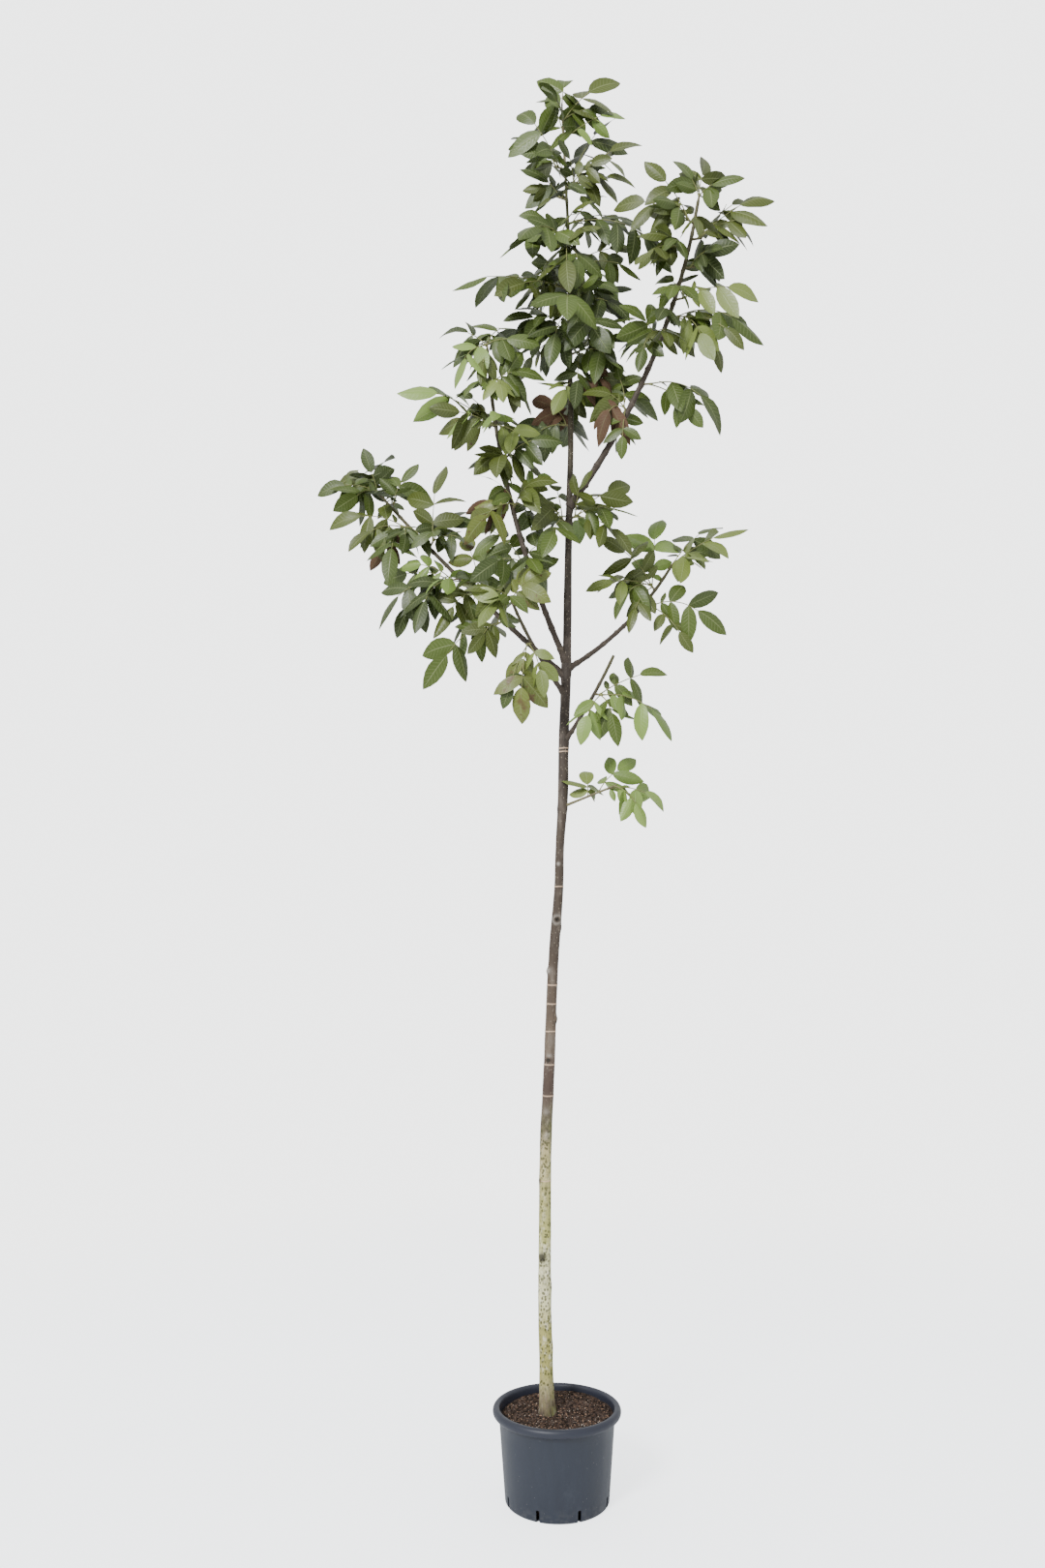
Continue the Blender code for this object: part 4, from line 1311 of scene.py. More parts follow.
def grow_leaf(dice: random.Random, foot: Vector, leaf: tuple) -> tuple[list[Vector], list[Blade], tuple]:
    """Grow one compound leaf: pairs of leaflets along its stalk and one at its end.

    Args:
        dice: The mass's own seeded numbers.
        foot: Where the stalk starts.
        leaf: Azimuth, rise, reach and droop.

    Returns:
        Points of the stalk, its leaflets, and direction, side and face near its foot.
    """
    azimuth, rise, reach, droop = leaf
    azimuth += dice.uniform(*AZIMUTH_DRIFT)
    rise += dice.uniform(*RISE_DRIFT)
    size = min(max(reach, SMALL_LEAF), LEAF_SIZE)
    places = PAIR_PLACES[1 if reach > LONG_LEAF else 0]
    rise += (droop * 0.5 + TIP_FALL) * size * END_SIZE / reach
    points, headings = stalk_path(foot, azimuth, rise, reach - size * END_SIZE - TIP_ROOM, droop)
    level = heading(azimuth + 90, 0)
    turn = dice.uniform(*FACE_TURN)
    lean = math.radians(dice.uniform(*FACE_LEAN))

    def stalk_frame(share: float) -> tuple[Vector, Vector, Vector, Vector]:
        """Find a place on the stalk.

        Args:
            share: Share of the stalk's length.

        Returns:
            Point, direction, side and face there.
        """
        step = min(int(share * STALK_STEPS), STALK_STEPS - 1)
        along = headings[step]
        upright = along.cross(level).normalized()
        tilt = math.atan2(-LIGHT.dot(level), LIGHT.dot(upright)) * turn + lean
        normal = upright * math.cos(tilt) - level * math.sin(tilt)
        point = points[step].lerp(points[step + 1], share * STALK_STEPS - step)
        return point, along, normal.cross(along), normal

    leaflets = []
    for number, share in enumerate(places):
        point, along, side, normal = stalk_frame(share)
        for hand in (1, -1):
            spread = math.radians(dice.uniform(*PAIR_SPREAD))
            hang = math.radians(dice.uniform(*PAIR_HANG))
            down = (normal + UP).normalized()
            outward = (side * hand * math.cos(hang) - down * math.sin(hang)).normalized()
            lead = (along * math.cos(spread) + outward * math.sin(spread)).normalized()
            length = size * (PAIR_SIZE + PAIR_GAIN * min(number, 1)) + PAIR_LENGTH
            length *= dice.uniform(*PAIR_VARIETY)
            roll = math.radians(dice.uniform(*PAIR_ROLL))
            face = (normal - lead * normal.dot(lead)).normalized()
            face = face * math.cos(roll) + lead.cross(face) * math.sin(roll)
            leaflets.append(Blade(point, lead, face, length, length * dice.uniform(*PAIR_WIDTH)))
    point, along, _, normal = stalk_frame(1.0)
    length = (size * END_SIZE + END_LENGTH) * dice.uniform(*END_VARIETY)
    lead = (along - normal * dice.uniform(*END_NOD)).normalized()
    face = (normal - lead * normal.dot(lead)).normalized()
    leaflets.append(Blade(point, lead, face, length, length * dice.uniform(*END_WIDTH)))
    return points, leaflets, stalk_frame(places[0] * LOW_PLACE)


def mass_stem(name: str, mass: Mass) -> tuple[Vector, Vector, Vector]:
    """Place a mass's stem, which carries on from a limb's tip or stands out from its side.

    Args:
        name: The mass's name.
        mass: Its sizes.

    Returns:
        The stem's start on the limb's axis, its start on the limb's surface, and its end.
    """
    start, limb, radius = place_on(mass.host, mass.place)
    if mass.place == (TRUNK_LINE[-1][0] if mass.host == "trunk" else 1.0):
        start = start + limb * CLEAR
        return start, start, start + limb * mass.stem
    if name == "low_twig":
        along = heading(*LOW_TWIG_HEADING)
    else:
        leads = [heading(leaf[0], leaf[1]) for leaf in mass.leaves]
        side = sum((lead - limb * lead.dot(limb) for lead in leads), Vector())
        if side.length < WEAK_LEAD:
            side = leads[0] - limb * leads[0].dot(limb)
        along = (side.normalized() + limb * STEM_LEAN).normalized()
    root = start + along * radius
    return start, root, root + along * mass.stem


def scaled(blade: Blade, longer: float, wider: float) -> Blade:
    """The same leaflet at a share of its length and width."""
    return blade._replace(length=blade.length * longer, width=blade.width * wider)


def tube(points: Sequence[Vector], radii: Sequence[float], sides: int) -> Mesh:
    """Points and faces of a closed tapering twig.

    Args:
        points: Its path.
        radii: Its radius at each point.
        sides: Faces round it.

    Returns:
        Points and faces.
    """
    across = (points[-1] - points[0]).normalized().orthogonal().normalized()
    made, faces = [], []
    for step, (point, radius) in enumerate(zip(points, radii)):
        along = (points[min(step + 1, len(points) - 1)] - points[max(step - 1, 0)]).normalized()
        across = (across - along * across.dot(along)).normalized()
        up = along.cross(across)
        for side in range(sides):
            angle = 2 * math.pi * side / sides
            made.append(point + (across * math.cos(angle) + up * math.sin(angle)) * radius)
    for step in range(len(points) - 1):
        row = step * sides
        for side in range(sides):
            after = (side + 1) % sides
            faces.append((row + side, row + after, row + sides + after, row + sides + side))
    faces.append(tuple(reversed(range(sides))))
    faces.append(tuple(range(len(made) - sides, len(made))))
    return made, faces


def plain_blade(blade: Blade) -> Mesh:
    """Make the six-faced stand-in for a leaflet that is tried against its neighbours.

    Args:
        blade: The leaflet.

    Returns:
        Points and faces.
    """
    across = blade.normal.cross(blade.along) * blade.width * LEAFLET_SPREAD * 0.5
    waist = blade.foot + blade.along * blade.length * LEAFLET_WAIST
    ridge = waist + blade.normal * blade.length * LEAFLET_THICKNESS
    points = [blade.foot - blade.along * STALK_RADIUS * 0.2, blade.foot + blade.along * blade.length,
              waist + across, waist - across, ridge]
    return points, [(0, 2, 4), (2, 1, 4), (1, 3, 4), (3, 0, 4), (2, 0, 3), (3, 1, 2)]


class Pile:
    """Many small closed meshes gathered into one piece."""

    def __init__(self) -> None:
        """Start with nothing."""
        self.points: list = []
        self.faces: list = []

    def add(self, mesh: Mesh) -> None:
        """Lay one more mesh on the pile.

        Args:
            mesh: Its points and faces.
        """
        points, faces = mesh
        start = len(self.points)
        self.points.extend(points)
        self.faces.extend(tuple(start + corner for corner in face) for face in faces)

    def piece(self, name: str, angle: float = 60.0) -> Piece:
        """Turn the pile into a smooth object.

        Args:
            name: The piece's name.
            angle: Degrees past which an edge stays sharp.

        Returns:
            The piece.
        """
        item = mesh_piece(name, self.points, self.faces)
        item.data.polygons.foreach_set("use_smooth", [True] * len(self.faces))
        item.data.set_sharp_from_angle(angle=math.radians(angle))
        return item

    def tree(self) -> BVHTree:
        """Search tree over the pile."""
        return BVHTree.FromPolygons(self.points, self.faces)


@dataclass
class LeafletMould:
    """The shape that every leaflet is bent from: rows of five points between its foot and its tip."""

    rows: tuple[float, ...] = (0.03, 0.13, 0.29, 0.48, 0.67, 0.83, 0.94)
    widths: tuple[float, ...] = (0.26, 0.64, 0.92, 1.02, 0.90, 0.58, 0.24)
    columns: tuple[float, ...] = (-1.0, -0.5, 0.0, 0.5, 1.0)
    thickness: float = 0.0007
    stretch: float = 1.08
    slimness: float = 0.93
    roll: Range = (-38, 38)
    bend: Range = (0.15, 0.85)
    sag: Range = (0.02, 0.20)
    fold: Range = (-26, 12)
    twist: Range = (-16, 16)
    wave: Range = (0.01, 0.06)
    skew: Range = (-0.08, 0.08)
    waves: float = 1.7
    wave_shift: float = 0.25
    sunk: float = 0.0006
    crease: float = 62.0

    def faces(self) -> tuple[list, list]:
        """List the faces of one leaflet.

        Returns:
            The faces, and the side that each belongs to.
        """
        wide = len(self.columns)
        tall = len(self.rows)
        root, tip = 0, 1
        upper = [[2 + row * wide + col for col in range(wide)] for row in range(tall)]
        start = 2 + tall * wide
        under = []
        for row in range(tall):
            inner = [start + row * (wide - 2) + col for col in range(wide - 2)]
            under.append([upper[row][0], *inner, upper[row][-1]])
        faces, sides = [], []
        for sheet, side in ((upper, Side.UPPER), (under, Side.UNDER)):
            made = []
            for col in range(wide - 1):
                made.append((root, sheet[0][col + 1], sheet[0][col]))
                made.append((sheet[-1][col], sheet[-1][col + 1], tip))
                for row in range(tall - 1):
                    low, high = sheet[row], sheet[row + 1]
                    made.append((low[col], low[col + 1], high[col + 1], high[col]))
            if side is Side.UNDER:
                made = [tuple(reversed(face)) for face in made]
            faces.extend(made)
            sides.extend([side.value] * len(made))
        return faces, sides

    def shape(self, blades: Sequence[Blade], dice: random.Random, curl: float) -> np.ndarray:
        """Roll, bend, fold, twist and wave each leaflet in its own way.

        Args:
            blades: The leaflets.
            dice: Seeded numbers for their differences.
            curl: Factor on how strongly they bend.

        Returns:
            Points by leaflet.
        """
        foot = np.array([blade.foot for blade in blades])
        along = np.array([blade.along for blade in blades])
        normal = np.array([blade.normal for blade in blades])
        length = np.array([blade.length for blade in blades]) * self.stretch
        width = np.array([blade.width for blade in blades]) * self.slimness

        def deal(span: Range) -> np.ndarray:
            """One number for each leaflet."""
            return np.array([dice.uniform(*span) for _ in blades])

        roll = np.radians(deal(self.roll))[:, None]
        normal = normal * np.cos(roll) + np.cross(along, normal) * np.sin(roll)
        across = np.cross(normal, along)
        bend = deal(self.bend) * curl
        sag = deal(self.sag) * curl
        fold = np.radians(deal(self.fold))
        twist = np.radians(deal(self.twist)) * curl
        wave = deal(self.wave) * curl
        phase = deal((0.0, 1.0))
        skew = deal(self.skew)

        def spot(share: float, column: float, breadth: float) -> tuple[np.ndarray, np.ndarray]:
            """Find a place on every leaflet.

            Args:
                share: Share of the length.
                column: Place across, -1 at one rim and 1 at the other.
                breadth: Share of the width there.

            Returns:
                Points and face directions.
            """
            angle = bend * share
            ahead = length * np.sin(angle) / bend
            drop = length * (1 - np.cos(angle)) / bend
            facing = normal * np.cos(angle)[:, None] + along * np.sin(angle)[:, None]
            spine = foot + along * ahead[:, None] - normal * drop[:, None]
            spine = spine + across * (length * skew * share * share)[:, None]
            spine = spine - np.array(UP) * (length * sag * share * share)[:, None]
            turn = twist * share
            aside = across * np.cos(turn)[:, None] + facing * np.sin(turn)[:, None]
            facing = facing * np.cos(turn)[:, None] - across * np.sin(turn)[:, None]
            half = width * 0.5 * breadth
            ripple = wave * np.sin(2 * math.pi * (share * self.waves + phase + self.wave_shift * column))
            lift = abs(column) * half * (np.sin(fold) + ripple)
            return spine + aside * (column * half * np.cos(fold))[:, None] + facing * lift[:, None], facing

        upper, under = [], []
        for share, breadth in zip(self.rows, self.widths):
            for column in self.columns:
                point, facing = spot(share, column, breadth)
                upper.append(point)
                if abs(column) < 1.0:
                    under.append(point - facing * self.thickness)
        root = foot - along * self.sunk
        tip = spot(1.0, 0.0, 0.0)[0]
        return np.stack([root, tip, *upper, *under], 1)

    def build(self, name: str, blades: Sequence[Blade], dice: random.Random, curl: float) -> Piece:
        """One joined mesh of many leaflets, with a map that follows each blade.

        Args:
            name: The piece's name.
            blades: The leaflets.
            dice: Seeded numbers for their differences.
            curl: Factor on how strongly they bend.

        Returns:
            The piece, upper sides in its first material slot and under sides in its second.
        """
        points = self.shape(blades, dice, curl)
        each = points.shape[1]
        faces, sides = self.faces()
        starts = range(0, len(blades) * each, each)
        joined = [tuple(start + corner for corner in face) for start in starts for face in faces]
        item = mesh_piece(name, points.reshape(-1, 3), joined)
        mesh = item.data
        mesh.polygons.foreach_set("material_index", sides * len(blades))
        mesh.polygons.foreach_set("use_smooth", [True] * len(joined))
        place = [(0.5, 0.0), (0.5, 1.0)]
        for columns in (self.columns, self.columns[1:-1]):
            place += [((column + 1) / 2, share) for share in self.rows for column in columns]
        corners = np.empty(len(mesh.loops), int)
        mesh.loops.foreach_get("vertex_index", corners)
        chart = np.array(place)[corners % each]
        mesh.uv_layers.new(name="blade").data.foreach_set("uv", chart.ravel())
        mesh.set_sharp_from_angle(angle=math.radians(self.crease))
        # One random number for each leaflet, kept as "age", which its material turns into painted light and
        # painted shade.
        paint = random.Random("age " + name)
        leaflet_light_shade = np.repeat([paint.random() for _ in blades], each)
        mesh.attributes.new("age", "FLOAT", "POINT").data.foreach_set("value", leaflet_light_shade)
        return item


@dataclass
class Crown:
    """Every mass of foliage: stems, stalks, buds and leaflets, dealt their tones by spray."""

    mould: LeafletMould = field(default_factory=LeafletMould)
    curled: dict[Tone, float] = field(default_factory=lambda: {Tone.DRY: 2.6, Tone.SPOTTED: 1.2})
    twig_places: tuple[float, ...] = (0, 0.3, 0.6, 0.9, 1.04)
    twig_radii: tuple[float, ...] = (1.25, 1.0, 0.9, 0.85, 0.6)
    twig_end: float = 0.8
    bud_places: tuple[float, ...] = (-0.3, 0.25, 0.8, 1.5)
    bud_radii: tuple[float, ...] = (0.55, 1.0, 0.75, 0.12)
    bud_size: float = 0.0024
    bud_rise: float = 0.3
    bud_ahead: float = 0.004
    end_bud_size: float = 0.0034
    stalk_rows: int = 13
    stalk_taper: float = 0.42
    stalk_foot: float = 0.75
    stalk_foot_length: float = 0.035
    # Place of the first leaf on a stem and the span to the last, on long stems and on short ones
    long_stem: float = 0.1
    long_span: tuple[float, float] = (0.45, 0.55)
    short_span: tuple[float, float] = (0.65, 0.30)
    sprays: dict[Tone, list[Blade]] = field(default_factory=lambda: {tone: [] for tone in Tone})
    stalks: Pile = field(default_factory=Pile)
    twigs: Pile = field(default_factory=Pile)
    buds: Pile = field(default_factory=Pile)
    taken: dict[str, BVHTree] = field(default_factory=dict)

    def limbs(self) -> None:
        """Note where the limbs are, so that nothing grows into them."""
        paths = {"trunk": trunk_path(), **{name: bough_path(bough) for name, bough in BOUGHS.items()}}
        for name, path in paths.items():
            pile = Pile()
            pile.add(tube([point for point, _ in path], [radius + CLEAR for _, radius in path], 8))
            self.taken[name] = pile.tree()

    def free(self, mesh: Mesh, mass: str) -> bool:
        """Whether a shape touches no limb and no other mass than its own."""
        tree = BVHTree.FromPolygons(*mesh)
        return not any(tree.overlap(other) for name, other in self.taken.items() if name != mass)

    def bud(self, point: Vector, along: Vector, size: float) -> None:
        """Add a small pointed bud.

        Args:
            point: Where it sits.
            along: Where it points.
            size: Its greatest radius.
        """
        path = [point + along * size * place for place in self.bud_places]
        self.buds.add(tube(path, [size * share for share in self.bud_radii], 6))

    def stalk(self, points: Sequence[Vector]) -> None:
        """Add a smooth leaf stalk with a swollen foot.

        Args:
            points: Its path.
        """
        steps = np.linspace(0.0, 1.0, self.stalk_rows)
        line = flowing(steps, np.linspace(0.0, 1.0, len(points)), np.array(points))
        thick = STALK_RADIUS * STALK_STOUTNESS
        radii = []
        for step in steps:
            swelling = self.stalk_foot * math.exp(-step / self.stalk_foot_length)
            radii.append(thick * (1.0 - self.stalk_taper * step + swelling))
        self.stalks.add(tube([Vector(row) for row in line], radii, 6))

    def grow(self, name: str, mass: Mass) -> None:
        """Grow one mass as the solids carry it.

        Args:
            name: Its name, which seeds it.
            mass: Its sizes.
        """
        dice = random.Random(name)
        paint = random.Random("tones " + name)
        extra = random.Random("extra " + name)
        start, root, end = mass_stem(name, mass)
        own = Pile()
        own.add(tube([start, end], [STEM_RADIUS, STEM_RADIUS * self.twig_end], 3))
        shares = TONE_SHARES[name.split("_")[0]]
        along = (end - start).normalized()
        first, span = self.long_span if mass.stem > self.long_stem else self.short_span
        for number, leaf in enumerate(mass.leaves):
            step = 1.0 if len(mass.leaves) == 1 else number / (len(mass.leaves) - 1)
            foot = root.lerp(end, first + span * step)
            points, blades, low = grow_leaf(dice, foot, leaf)
            blades = [scaled(blade, *LEAFLET_SHARES.get(name, LEAFLET_SHARE)) for blade in blades]
            tone = PICKED[name][number] if name in PICKED else paint.choices(list(Tone), shares)[0]
            if leaf[2] > LOW_REACH:
                blades = self.low_pair(extra, low, min(leaf[2], LEAF_SIZE)) + blades
            if self.leaf(own, name, points, blades, tone, 0.0):
                lead = (along + UP * self.bud_rise).normalized()
                self.bud(foot + along * self.bud_ahead, lead, self.bud_size)
        radii = [STEM_RADIUS * TWIG_STOUTNESS * share for share in self.twig_radii]
        self.twigs.add(tube([start.lerp(end, place) for place in self.twig_places], radii, 8))
        self.bud(end, along, self.end_bud_size)
        self.taken[name] = own.tree()

    def fill(self, name: str, mass: Mass) -> None:
        """Grow the finer leaves of one mass, where all the solids' leaves leave room.

        Args:
            name: Its name, which seeds them.
            mass: Its sizes.
        """
        dice = random.Random("finer " + name)
        _, root, end = mass_stem(name, mass)
        shares = TONE_SHARES[name.split("_")[0]]
        own = Pile()
        for leaf in FINER[name]:
            points, blades, _ = grow_leaf(dice, root.lerp(end, dice.uniform(*FINER_PLACES)), leaf[:4])
            small = dice.uniform(*FINER_SIZES)
            blades = [scaled(blade, small * LEAFLET_SHARE[0], small * LEAFLET_SHARE[1]) for blade in blades]
            tone = leaf[4] if len(leaf) > 4 else dice.choices(list(Tone), shares)[0]
            self.leaf(own, name, points, blades, tone, FINER_LEAST)
        if own.points:
            self.taken[name + "_finer"] = own.tree()

    def leaf(self, own: Pile, mass: str, points: Sequence[Vector], blades: Sequence[Blade], tone: Tone,
             least: float) -> bool:
        """Add one compound leaf where there is room for it.

        Args:
            own: What its mass holds so far.
            mass: The mass's name.
            points: Its stalk.
            blades: Its leaflets, the one at the end last.
            tone: Their colour family.
            least: Share of the leaflets without which it doesn't grow.

        Returns:
            Whether it grew.
        """
        shares = [1.0 - STALK_TAPER * step / STALK_STEPS for step in range(STALK_STEPS + 1)]
        plain = tube(points, [STALK_RADIUS * share for share in shares], 3)
        if not self.free(plain, mass):
            return False
        kept = [self.fitted(blade, mass) for blade in blades]
        if least > 0 and (kept[-1] is None or sum(blade is not None for blade in kept) < least * len(kept)):
            return False
        own.add(plain)
        self.stalk(points)
        for blade in kept:
            if blade is not None:
                own.add(plain_blade(blade))
                self.sprays[tone].append(blade)
        return True

    def fitted(self, blade: Blade, mass: str) -> Blade | None:
        """Fit a leaflet to the room that its neighbours leave.

        Args:
            blade: The leaflet.
            mass: Its mass's name.

        Returns:
            The leaflet, at full size or smaller, or nothing.
        """
        for share in FITTING:
            smaller = scaled(blade, share, share)
            if self.free(plain_blade(smaller), mass):
                return smaller
        return None

    @staticmethod
    def low_pair(dice: random.Random, low: tuple, size: float) -> list[Blade]:
        """The small pair of leaflets nearest a stalk's foot.

        Args:
            dice: Seeded numbers apart from the mass's own.
            low: Point, direction, side and face there.
            size: The leaf's reach.

        Returns:
            Up to two leaflets.
        """
        point, along, side, normal = low
        pair = []
        for hand in (1, -1):
            spread = math.radians(dice.uniform(*LOW_SPREAD))
            outward = (side * hand - UP * dice.uniform(*LOW_HANG)).normalized()
            lead = (along * math.cos(spread) + outward * math.sin(spread)).normalized()
            length = size * LOW_SIZE * dice.uniform(*LOW_VARIETY)
            face = (normal - lead * normal.dot(lead)).normalized()
            if dice.random() < LOW_CHANCE:
                pair.append(Blade(point, lead, face, length, length * dice.uniform(*LOW_WIDTH)))
        return pair

    def build(self) -> None:
        """Grow all masses and hand over their joined pieces."""
        self.limbs()
        for name, mass in MASSES.items():
            self.grow(name, mass)
        for name in FINER:
            self.fill(name, MASSES[name])
        finishes = {finish.tone: finish for finish in LEAF_FINISHES}
        for tone, blades in self.sprays.items():
            if blades:
                finish = finishes[tone]
                dice = random.Random("shape " + tone.value)
                item = self.mould.build(f"leaflets_{tone.value}", blades, dice, self.curled.get(tone, 1.0))
                hand_over(item, "foliage", FOLIAGE_NODES, finish.upper_side(), finish.under_side())
        rind = GreenwoodFinish("stalk_rind", (104, 108, 62), (132, 134, 84))
        shoot = GreenwoodFinish("shoot_rind", (92, 84, 62), (112, 108, 74), 0.6)
        scale = GreenwoodFinish("bud_scales", (60, 52, 42), (88, 84, 60), 0.6)
        piles = (("leaf_stalks", self.stalks, rind), ("twigs", self.twigs, shoot), ("buds", self.buds, scale))
        for name, pile, finish in piles:
            hand_over(pile.piece(name), "foliage", FOLIAGE_NODES, finish.build())


# ---- pot and soil

def spun(name: str, profile: Sequence[tuple[float, float]], steps: int) -> Piece:
    """Spin a profile of radius and height about the upright axis into a closed solid.

    Args:
        name: The piece's name.
        profile: From axis to axis, or closed on itself.
        steps: Faces round it.

    Returns:
        The piece.
    """
    edges = [(i, i + 1) for i in range(len(profile) - 1)]
    item = mesh_piece(name, [(radius, 0.0, height) for radius, height in profile], [], edges)
    work_on(item)
    bpy.ops.object.mode_set(mode="EDIT")
    bpy.ops.mesh.select_all(action="SELECT")
    bpy.ops.mesh.spin(steps=steps, angle=2 * math.pi, center=(0, 0, 0), axis=(0, 0, 1))
    bpy.ops.mesh.select_all(action="SELECT")
    bpy.ops.mesh.remove_doubles(threshold=SEAM * 2)
    bpy.ops.mesh.normals_make_consistent(inside=False)
    bpy.ops.object.mode_set(mode="OBJECT")
    return item


def arc(centre: tuple[float, float], half: tuple[float, float], start: float, end: float,
        steps: int) -> list[tuple[float, float]]:
    """Points along an elliptic arc, angles in degrees from outward, upward positive."""
    turns = [math.radians(start + (end - start) * step / steps) for step in range(steps + 1)]
    return [(centre[0] + half[0] * math.cos(t), centre[1] + half[1] * math.sin(t)) for t in turns]


@dataclass
class Pot:
    """Round nursery pot with a rolled rim and drain slots round its foot."""

    height: float = 0.262
    foot_radius: float = 0.1535
    top_radius: float = 0.172
    wall: float = 0.003
    floor: float = 0.004
    rim_radius: float = 0.1905
    rim_lip: float = 0.170
    rim_depth: float = 0.025
    foot_round: float = 0.006
    steps: int = 144
    slots: int = 8
    slot_width: float = 0.010
    slot_height: float = 0.034
    slot_depth: float = 0.022
    # Offsets from the lip's radius and the pot's top, up the inside of the rim
    lip: Rows = ((-0.0012, -0.012), (0.0, -0.0055), (0.0016, -0.0022), (0.0042, -0.0006))
    # Offsets from the wall's radius and the rim's underside, in under the rim
    tuck: Rows = ((0.0045, 0.0), (0.0012, -0.0008), (0.0, -0.003))

    def profile(self) -> list[tuple[float, float]]:
        """Draw the shell from the axis inside, over the rim and back under the foot.

        Returns:
            Radius and height of each point.
        """
        under_rim = self.height - self.rim_depth
        crown = (self.rim_radius + self.rim_lip) / 2
        half = (self.rim_radius - crown, self.rim_depth / 2)
        middle = self.height - self.rim_depth / 2
        line = [(0.0, self.floor), (self.foot_radius - self.wall - 0.004, self.floor)]
        line += [(self.foot_radius - self.wall - 0.001, self.floor + 0.001)]
        line += [(self.foot_radius - self.wall, self.floor + 0.004)]
        rise = under_rim - self.floor
        for share in (0.25, 0.5, 0.75, 0.92, 1.0):
            radius = self.foot_radius + (self.top_radius - self.foot_radius) * share - self.wall
            line.append((radius, self.floor + rise * share))
        line += [(self.rim_lip + out, self.height + up) for out, up in self.lip]
        line += arc((crown, middle), half, 90, -62, 14)
        line += [(self.rim_radius - 0.0085, under_rim - 0.0002)]
        line += [(self.top_radius + out, under_rim + up) for out, up in self.tuck]
        for share in (0.8, 0.6, 0.4, 0.2, 0.08):
            radius = self.foot_radius + (self.top_radius - self.foot_radius) * share
            line.append((radius, self.foot_round + (under_rim - self.foot_round) * share))
        centre = (self.foot_radius - self.foot_round, self.foot_round)
        line += arc(centre, (self.foot_round, self.foot_round), 0, -90, 6)
        line += [(self.foot_radius * 0.7, 0.0), (self.foot_radius * 0.62, 0.0008), (0.0, 0.0008)]
        return line

    def build(self) -> None:
        """Spin the shell, cut its slots and dress it."""
        item = spun("pot_shell", self.profile(), self.steps)
        for number in range(self.slots):
            self.cut_slot(item, 2 * math.pi * (number + 0.5) / self.slots)
        work_on(item)
        bpy.ops.object.shade_smooth_by_angle(angle=math.radians(35))
        hand_over(item, "pot", ["pot"], PlasticFinish().build())

    def cut_slot(self, item: Piece, turn: float) -> None:
        """Cut one round-topped slot through the foot.

        Args:
            item: The pot.
            turn: Its bearing in radians.
        """
        clear_selection()
        middle = (self.foot_radius * math.cos(turn), self.foot_radius * math.sin(turn), 0.0)
        bpy.ops.mesh.primitive_cube_add(size=1.0, location=middle, rotation=(0.0, 0.0, turn))
        cutter = bpy.context.object
        cutter.scale = (self.slot_depth, self.slot_width, self.slot_height * 2)
        settle(cutter)
        bevel = cutter.modifiers.new("round", "BEVEL")
        bevel.width = self.slot_width * 0.35
        bevel.segments = 3
        bpy.ops.object.modifier_apply(modifier=bevel.name)
        work_on(item)
        cut = item.modifiers.new("slot", "BOOLEAN")
        cut.operation = "DIFFERENCE"
        cut.solver = "EXACT"
        cut.object = cutter
        bpy.ops.object.modifier_apply(modifier=cut.name)
        bpy.data.objects.remove(cutter, do_unlink=True)


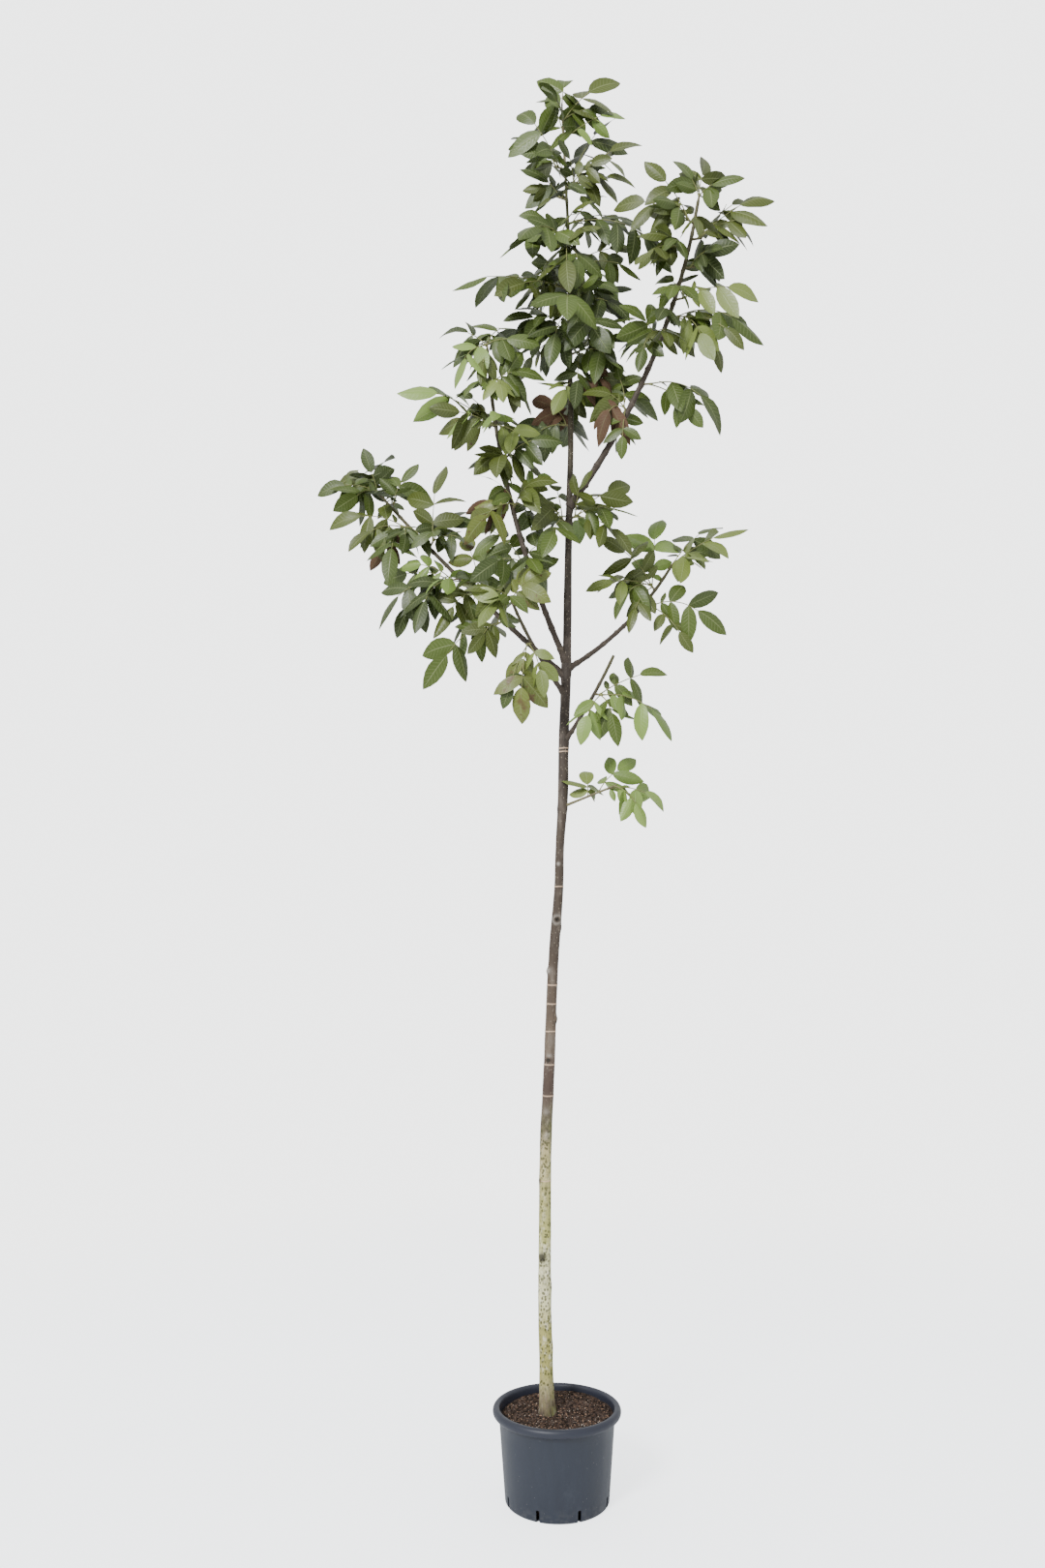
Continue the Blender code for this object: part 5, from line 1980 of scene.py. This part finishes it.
@dataclass
class Soil:
    """Soil with a crumbly, mounded top and bits of bark, peat and grit on it."""

    pot: Pot
    top: float = 0.234
    shrunk: float = 0.060
    rings: int = 46
    steps: int = 120
    crown: float = 0.0012
    tilt: tuple[float, float] = (0.014, 0.008)
    bank: float = 0.055
    bank_turn: float = 0.3
    heap: float = 0.004
    heap_radius: float = 0.028
    heap_spread: float = 0.022
    # Height, features a metre and seed of the lumps
    lumps: Rows = ((0.0034, 16.0, 0.0), (0.0022, 48.0, 4.0), (0.0011, 130.0, 8.0), (0.0006, 320.0, 2.0))
    edge_start: float = 0.145
    edge_width: float = 0.018
    edge_drop: float = 0.0045
    bits_reach: float = 0.158
    bits_clear: float = 0.027
    chips: dict[str, tuple[int, float, float, Shade, Shade]] = field(default_factory=lambda: {
        "dark": (1500, 0.0022, 0.0058, (24, 19, 16), (50, 41, 35)),
        "brown": (1200, 0.0018, 0.0055, (62, 48, 40), (100, 80, 66)),
        "tan": (900, 0.0012, 0.0042, (122, 96, 80), (164, 136, 114)),
        "pale": (330, 0.0010, 0.0030, (168, 156, 144), (204, 194, 182)),
    })

    def rim(self, height: float) -> float:
        """Fit the soil to the pot's wall.

        Args:
            height: Where.

        Returns:
            The soil's radius there.
        """
        pot = self.pot
        slope = (pot.top_radius - pot.foot_radius) / (pot.height - pot.rim_depth - pot.floor)
        return pot.foot_radius - pot.wall - CLEAR * 1.2 + slope * (height - pot.floor)

    def level(self, across: np.ndarray, depth: np.ndarray) -> np.ndarray:
        """Shape the soil's top: higher at the back, heaped at the trunk, lumpy all over.

        Args:
            across: Places along X.
            depth: Places along Y.

        Returns:
            Heights there.
        """
        spots = np.stack([across, depth, np.zeros_like(across)], 1)
        away = np.hypot(across - TRUNK_LINE[0][1], depth - TRUNK_DEPTH)
        height = self.top + self.crown + self.tilt[0] * depth + self.tilt[1] * across
        height += self.bank * np.maximum(depth + self.bank_turn * across, 0.0)
        height += self.heap * bell(away - self.heap_radius, self.heap_spread) * (1 + rough(spots, 30.0))
        for lift, scale, seed in self.lumps:
            height += lift * rough(spots, scale, seed)
        edge = np.clip((np.hypot(across, depth) - self.edge_start) / self.edge_width, 0.0, 1.0)
        return height - self.edge_drop * edge ** 2

    def build(self) -> None:
        """Spin the plug, crumble its top, scatter bits and dress them all."""
        low = self.pot.floor + CLEAR
        outer = self.rim(self.top)
        profile = [(0.0, self.top)]
        profile += [(outer * (step + 1) / self.rings, self.top) for step in range(self.rings)]
        profile += [(self.rim(self.top * 0.5), self.top * 0.5), (self.rim(self.shrunk), self.shrunk)]
        profile += [(self.rim(low) - 0.020, low + 0.012), (self.rim(low) - 0.026, low), (0.0, low)]
        item = spun("soil_plug", profile, self.steps)
        points = points_of(item)
        crest = points[:, 2] > self.top - CLEAR
        points[crest, 2] = self.level(points[crest, 0], points[crest, 1])
        item.data.vertices.foreach_set("co", points.ravel())
        item.data.update()
        work_on(item)
        bpy.ops.object.shade_smooth_by_angle(angle=math.radians(60))
        ground = EarthFinish("soil_earth", (38, 30, 27), (96, 80, 71))
        hand_over(item, "soil", ["soil"], ground.build())
        for name, (count, small, large, dark, light) in self.chips.items():
            self.scatter(name, count, small, large, EarthFinish(f"soil_{name}", dark, light, 420.0, 0.0008))

    def scatter(self, name: str, count: int, small: float, large: float, finish: EarthFinish) -> None:
        """Scatter one kind of bit over the top.

        Args:
            name: The kind.
            count: How many.
            small: Smallest half-size.
            large: Largest half-size.
            finish: Their material.
        """
        dice = random.Random("soil " + name)
        pile = Pile()
        spots = []
        while len(spots) < count:
            away = math.sqrt(dice.random()) * self.bits_reach
            turn = dice.uniform(0, 2 * math.pi)
            spot = (away * math.cos(turn), away * math.sin(turn))
            if math.hypot(spot[0] - TRUNK_LINE[0][1], spot[1] - TRUNK_DEPTH) > self.bits_clear:
                spots.append(spot)
        levels = self.level(np.array([s[0] for s in spots]), np.array([s[1] for s in spots]))
        for (across, depth), height in zip(spots, levels):
            size = small + (large - small) * dice.random() ** 2.2
            first = heading(dice.uniform(0, 360), dice.uniform(-25, 35))
            second = first.orthogonal().normalized()
            second.rotate(UP.rotation_difference(heading(dice.uniform(0, 360), 70)))
            second = (second - first * second.dot(first)).normalized()
            third = first.cross(second)
            middle = Vector((across, depth, height + size * 0.15))
            spans = (size, size * dice.uniform(0.35, 0.8), size * dice.uniform(0.25, 0.6))
            pile.add(self.crumb(dice, middle, (first * spans[0], second * spans[1], third * spans[2])))
        hand_over(pile.piece(f"soil_bits_{name}", 30.0), "soil", ["soil"], finish.build())

    @staticmethod
    def crumb(dice: random.Random, middle: Vector, axes: tuple[Vector, Vector, Vector]) -> Mesh:
        """Make an uneven eight-faced crumb.

        Args:
            dice: Seeded numbers for its corners.
            middle: Its middle.
            axes: Its half-lengths, as three vectors.

        Returns:
            Points and faces.
        """
        corners = []
        for axis in axes:
            for hand in (1, -1):
                corners.append(middle + axis * hand * dice.uniform(0.75, 1.25))
        faces = []
        for a in (0, 1):
            for b in (2, 3):
                for c in (4, 5):
                    odd = (a + b + c) % 2
                    faces.append((a, b, c) if odd == 0 else (a, c, b))
        return corners, faces


# ---- studio

@dataclass
class Studio:
    """Pale floor, soft light and the camera."""

    camera_place: tuple[float, float, float] = (-0.102, -3.722, 1.629)
    camera_rise: float = 7.54
    lens: float = 27.156
    surround: float = 1.08
    backdrop: float = 3.6
    sky: Shade = (252, 253, 253)
    floor_size: float = 60.0
    lamp_place: tuple[float, float, float] = (-5.0, -8.6, 8.2)
    lamp_target: tuple[float, float, float] = (0.0, 0.0, 2.2)
    lamp_size: float = 3.2
    lamp_power: float = 1520.0

    def build(self) -> None:
        """Set the floor, the surround, the lamp and the camera."""
        clear_selection()
        bpy.ops.mesh.primitive_grid_add(x_subdivisions=24, y_subdivisions=24, size=self.floor_size)
        floor = bpy.context.object
        floor.name = "studio_floor"
        settle(floor)
        floor.data.materials.append(FloorFinish().build())
        self.surroundings()
        self.lamp()
        lens = bpy.data.cameras.new("camera")
        lens.sensor_width = 36.0
        lens.lens = self.lens
        lens.clip_end = 200.0
        camera = bpy.data.objects.new("camera", lens)
        camera.location = self.camera_place
        camera.rotation_euler = (math.radians(90 + self.camera_rise), 0.0, 0.0)
        bpy.context.scene.collection.objects.link(camera)
        bpy.context.scene.camera = camera

    def surroundings(self) -> None:
        """An even soft surround, with a brighter backdrop where the camera looks straight at it."""
        world = bpy.data.worlds.new("surround")
        world.use_nodes = True
        tree = world.node_tree
        soft = tree.nodes["Background"]
        bright = tree.nodes.new("ShaderNodeBackground")
        chosen = tree.nodes.new("ShaderNodeMixShader")
        path = tree.nodes.new("ShaderNodeLightPath")
        for sky, strength in ((soft, self.surround), (bright, self.backdrop)):
            sky.inputs["Color"].default_value = linear(self.sky)
            sky.inputs["Strength"].default_value = strength
        tree.links.new(path.outputs["Is Camera Ray"], chosen.inputs["Fac"])
        tree.links.new(soft.outputs[0], chosen.inputs[1])
        tree.links.new(bright.outputs[0], chosen.inputs[2])
        tree.links.new(chosen.outputs[0], tree.nodes["World Output"].inputs["Surface"])
        bpy.context.scene.world = world

    def lamp(self) -> None:
        """Hang one broad soft lamp."""
        light = bpy.data.lights.new("key", "AREA")
        light.shape = "DISK"
        light.size = self.lamp_size
        light.energy = self.lamp_power
        item = bpy.data.objects.new("key", light)
        item.location = self.lamp_place
        aim = Vector(self.lamp_target) - Vector(self.lamp_place)
        item.rotation_euler = aim.to_track_quat("-Z", "Y").to_euler()
        bpy.context.scene.collection.objects.link(item)


def main() -> None:
    """Build and dress every part of the potted tree."""
    logging.basicConfig(level=logging.INFO, format="%(name)s %(message)s")
    pot = Pot()
    pot.build()
    Soil(pot).build()
    Trunk().build()
    Boughs().build()
    Crown().build()
    Studio().build()


if __name__ == "__main__":
    main()
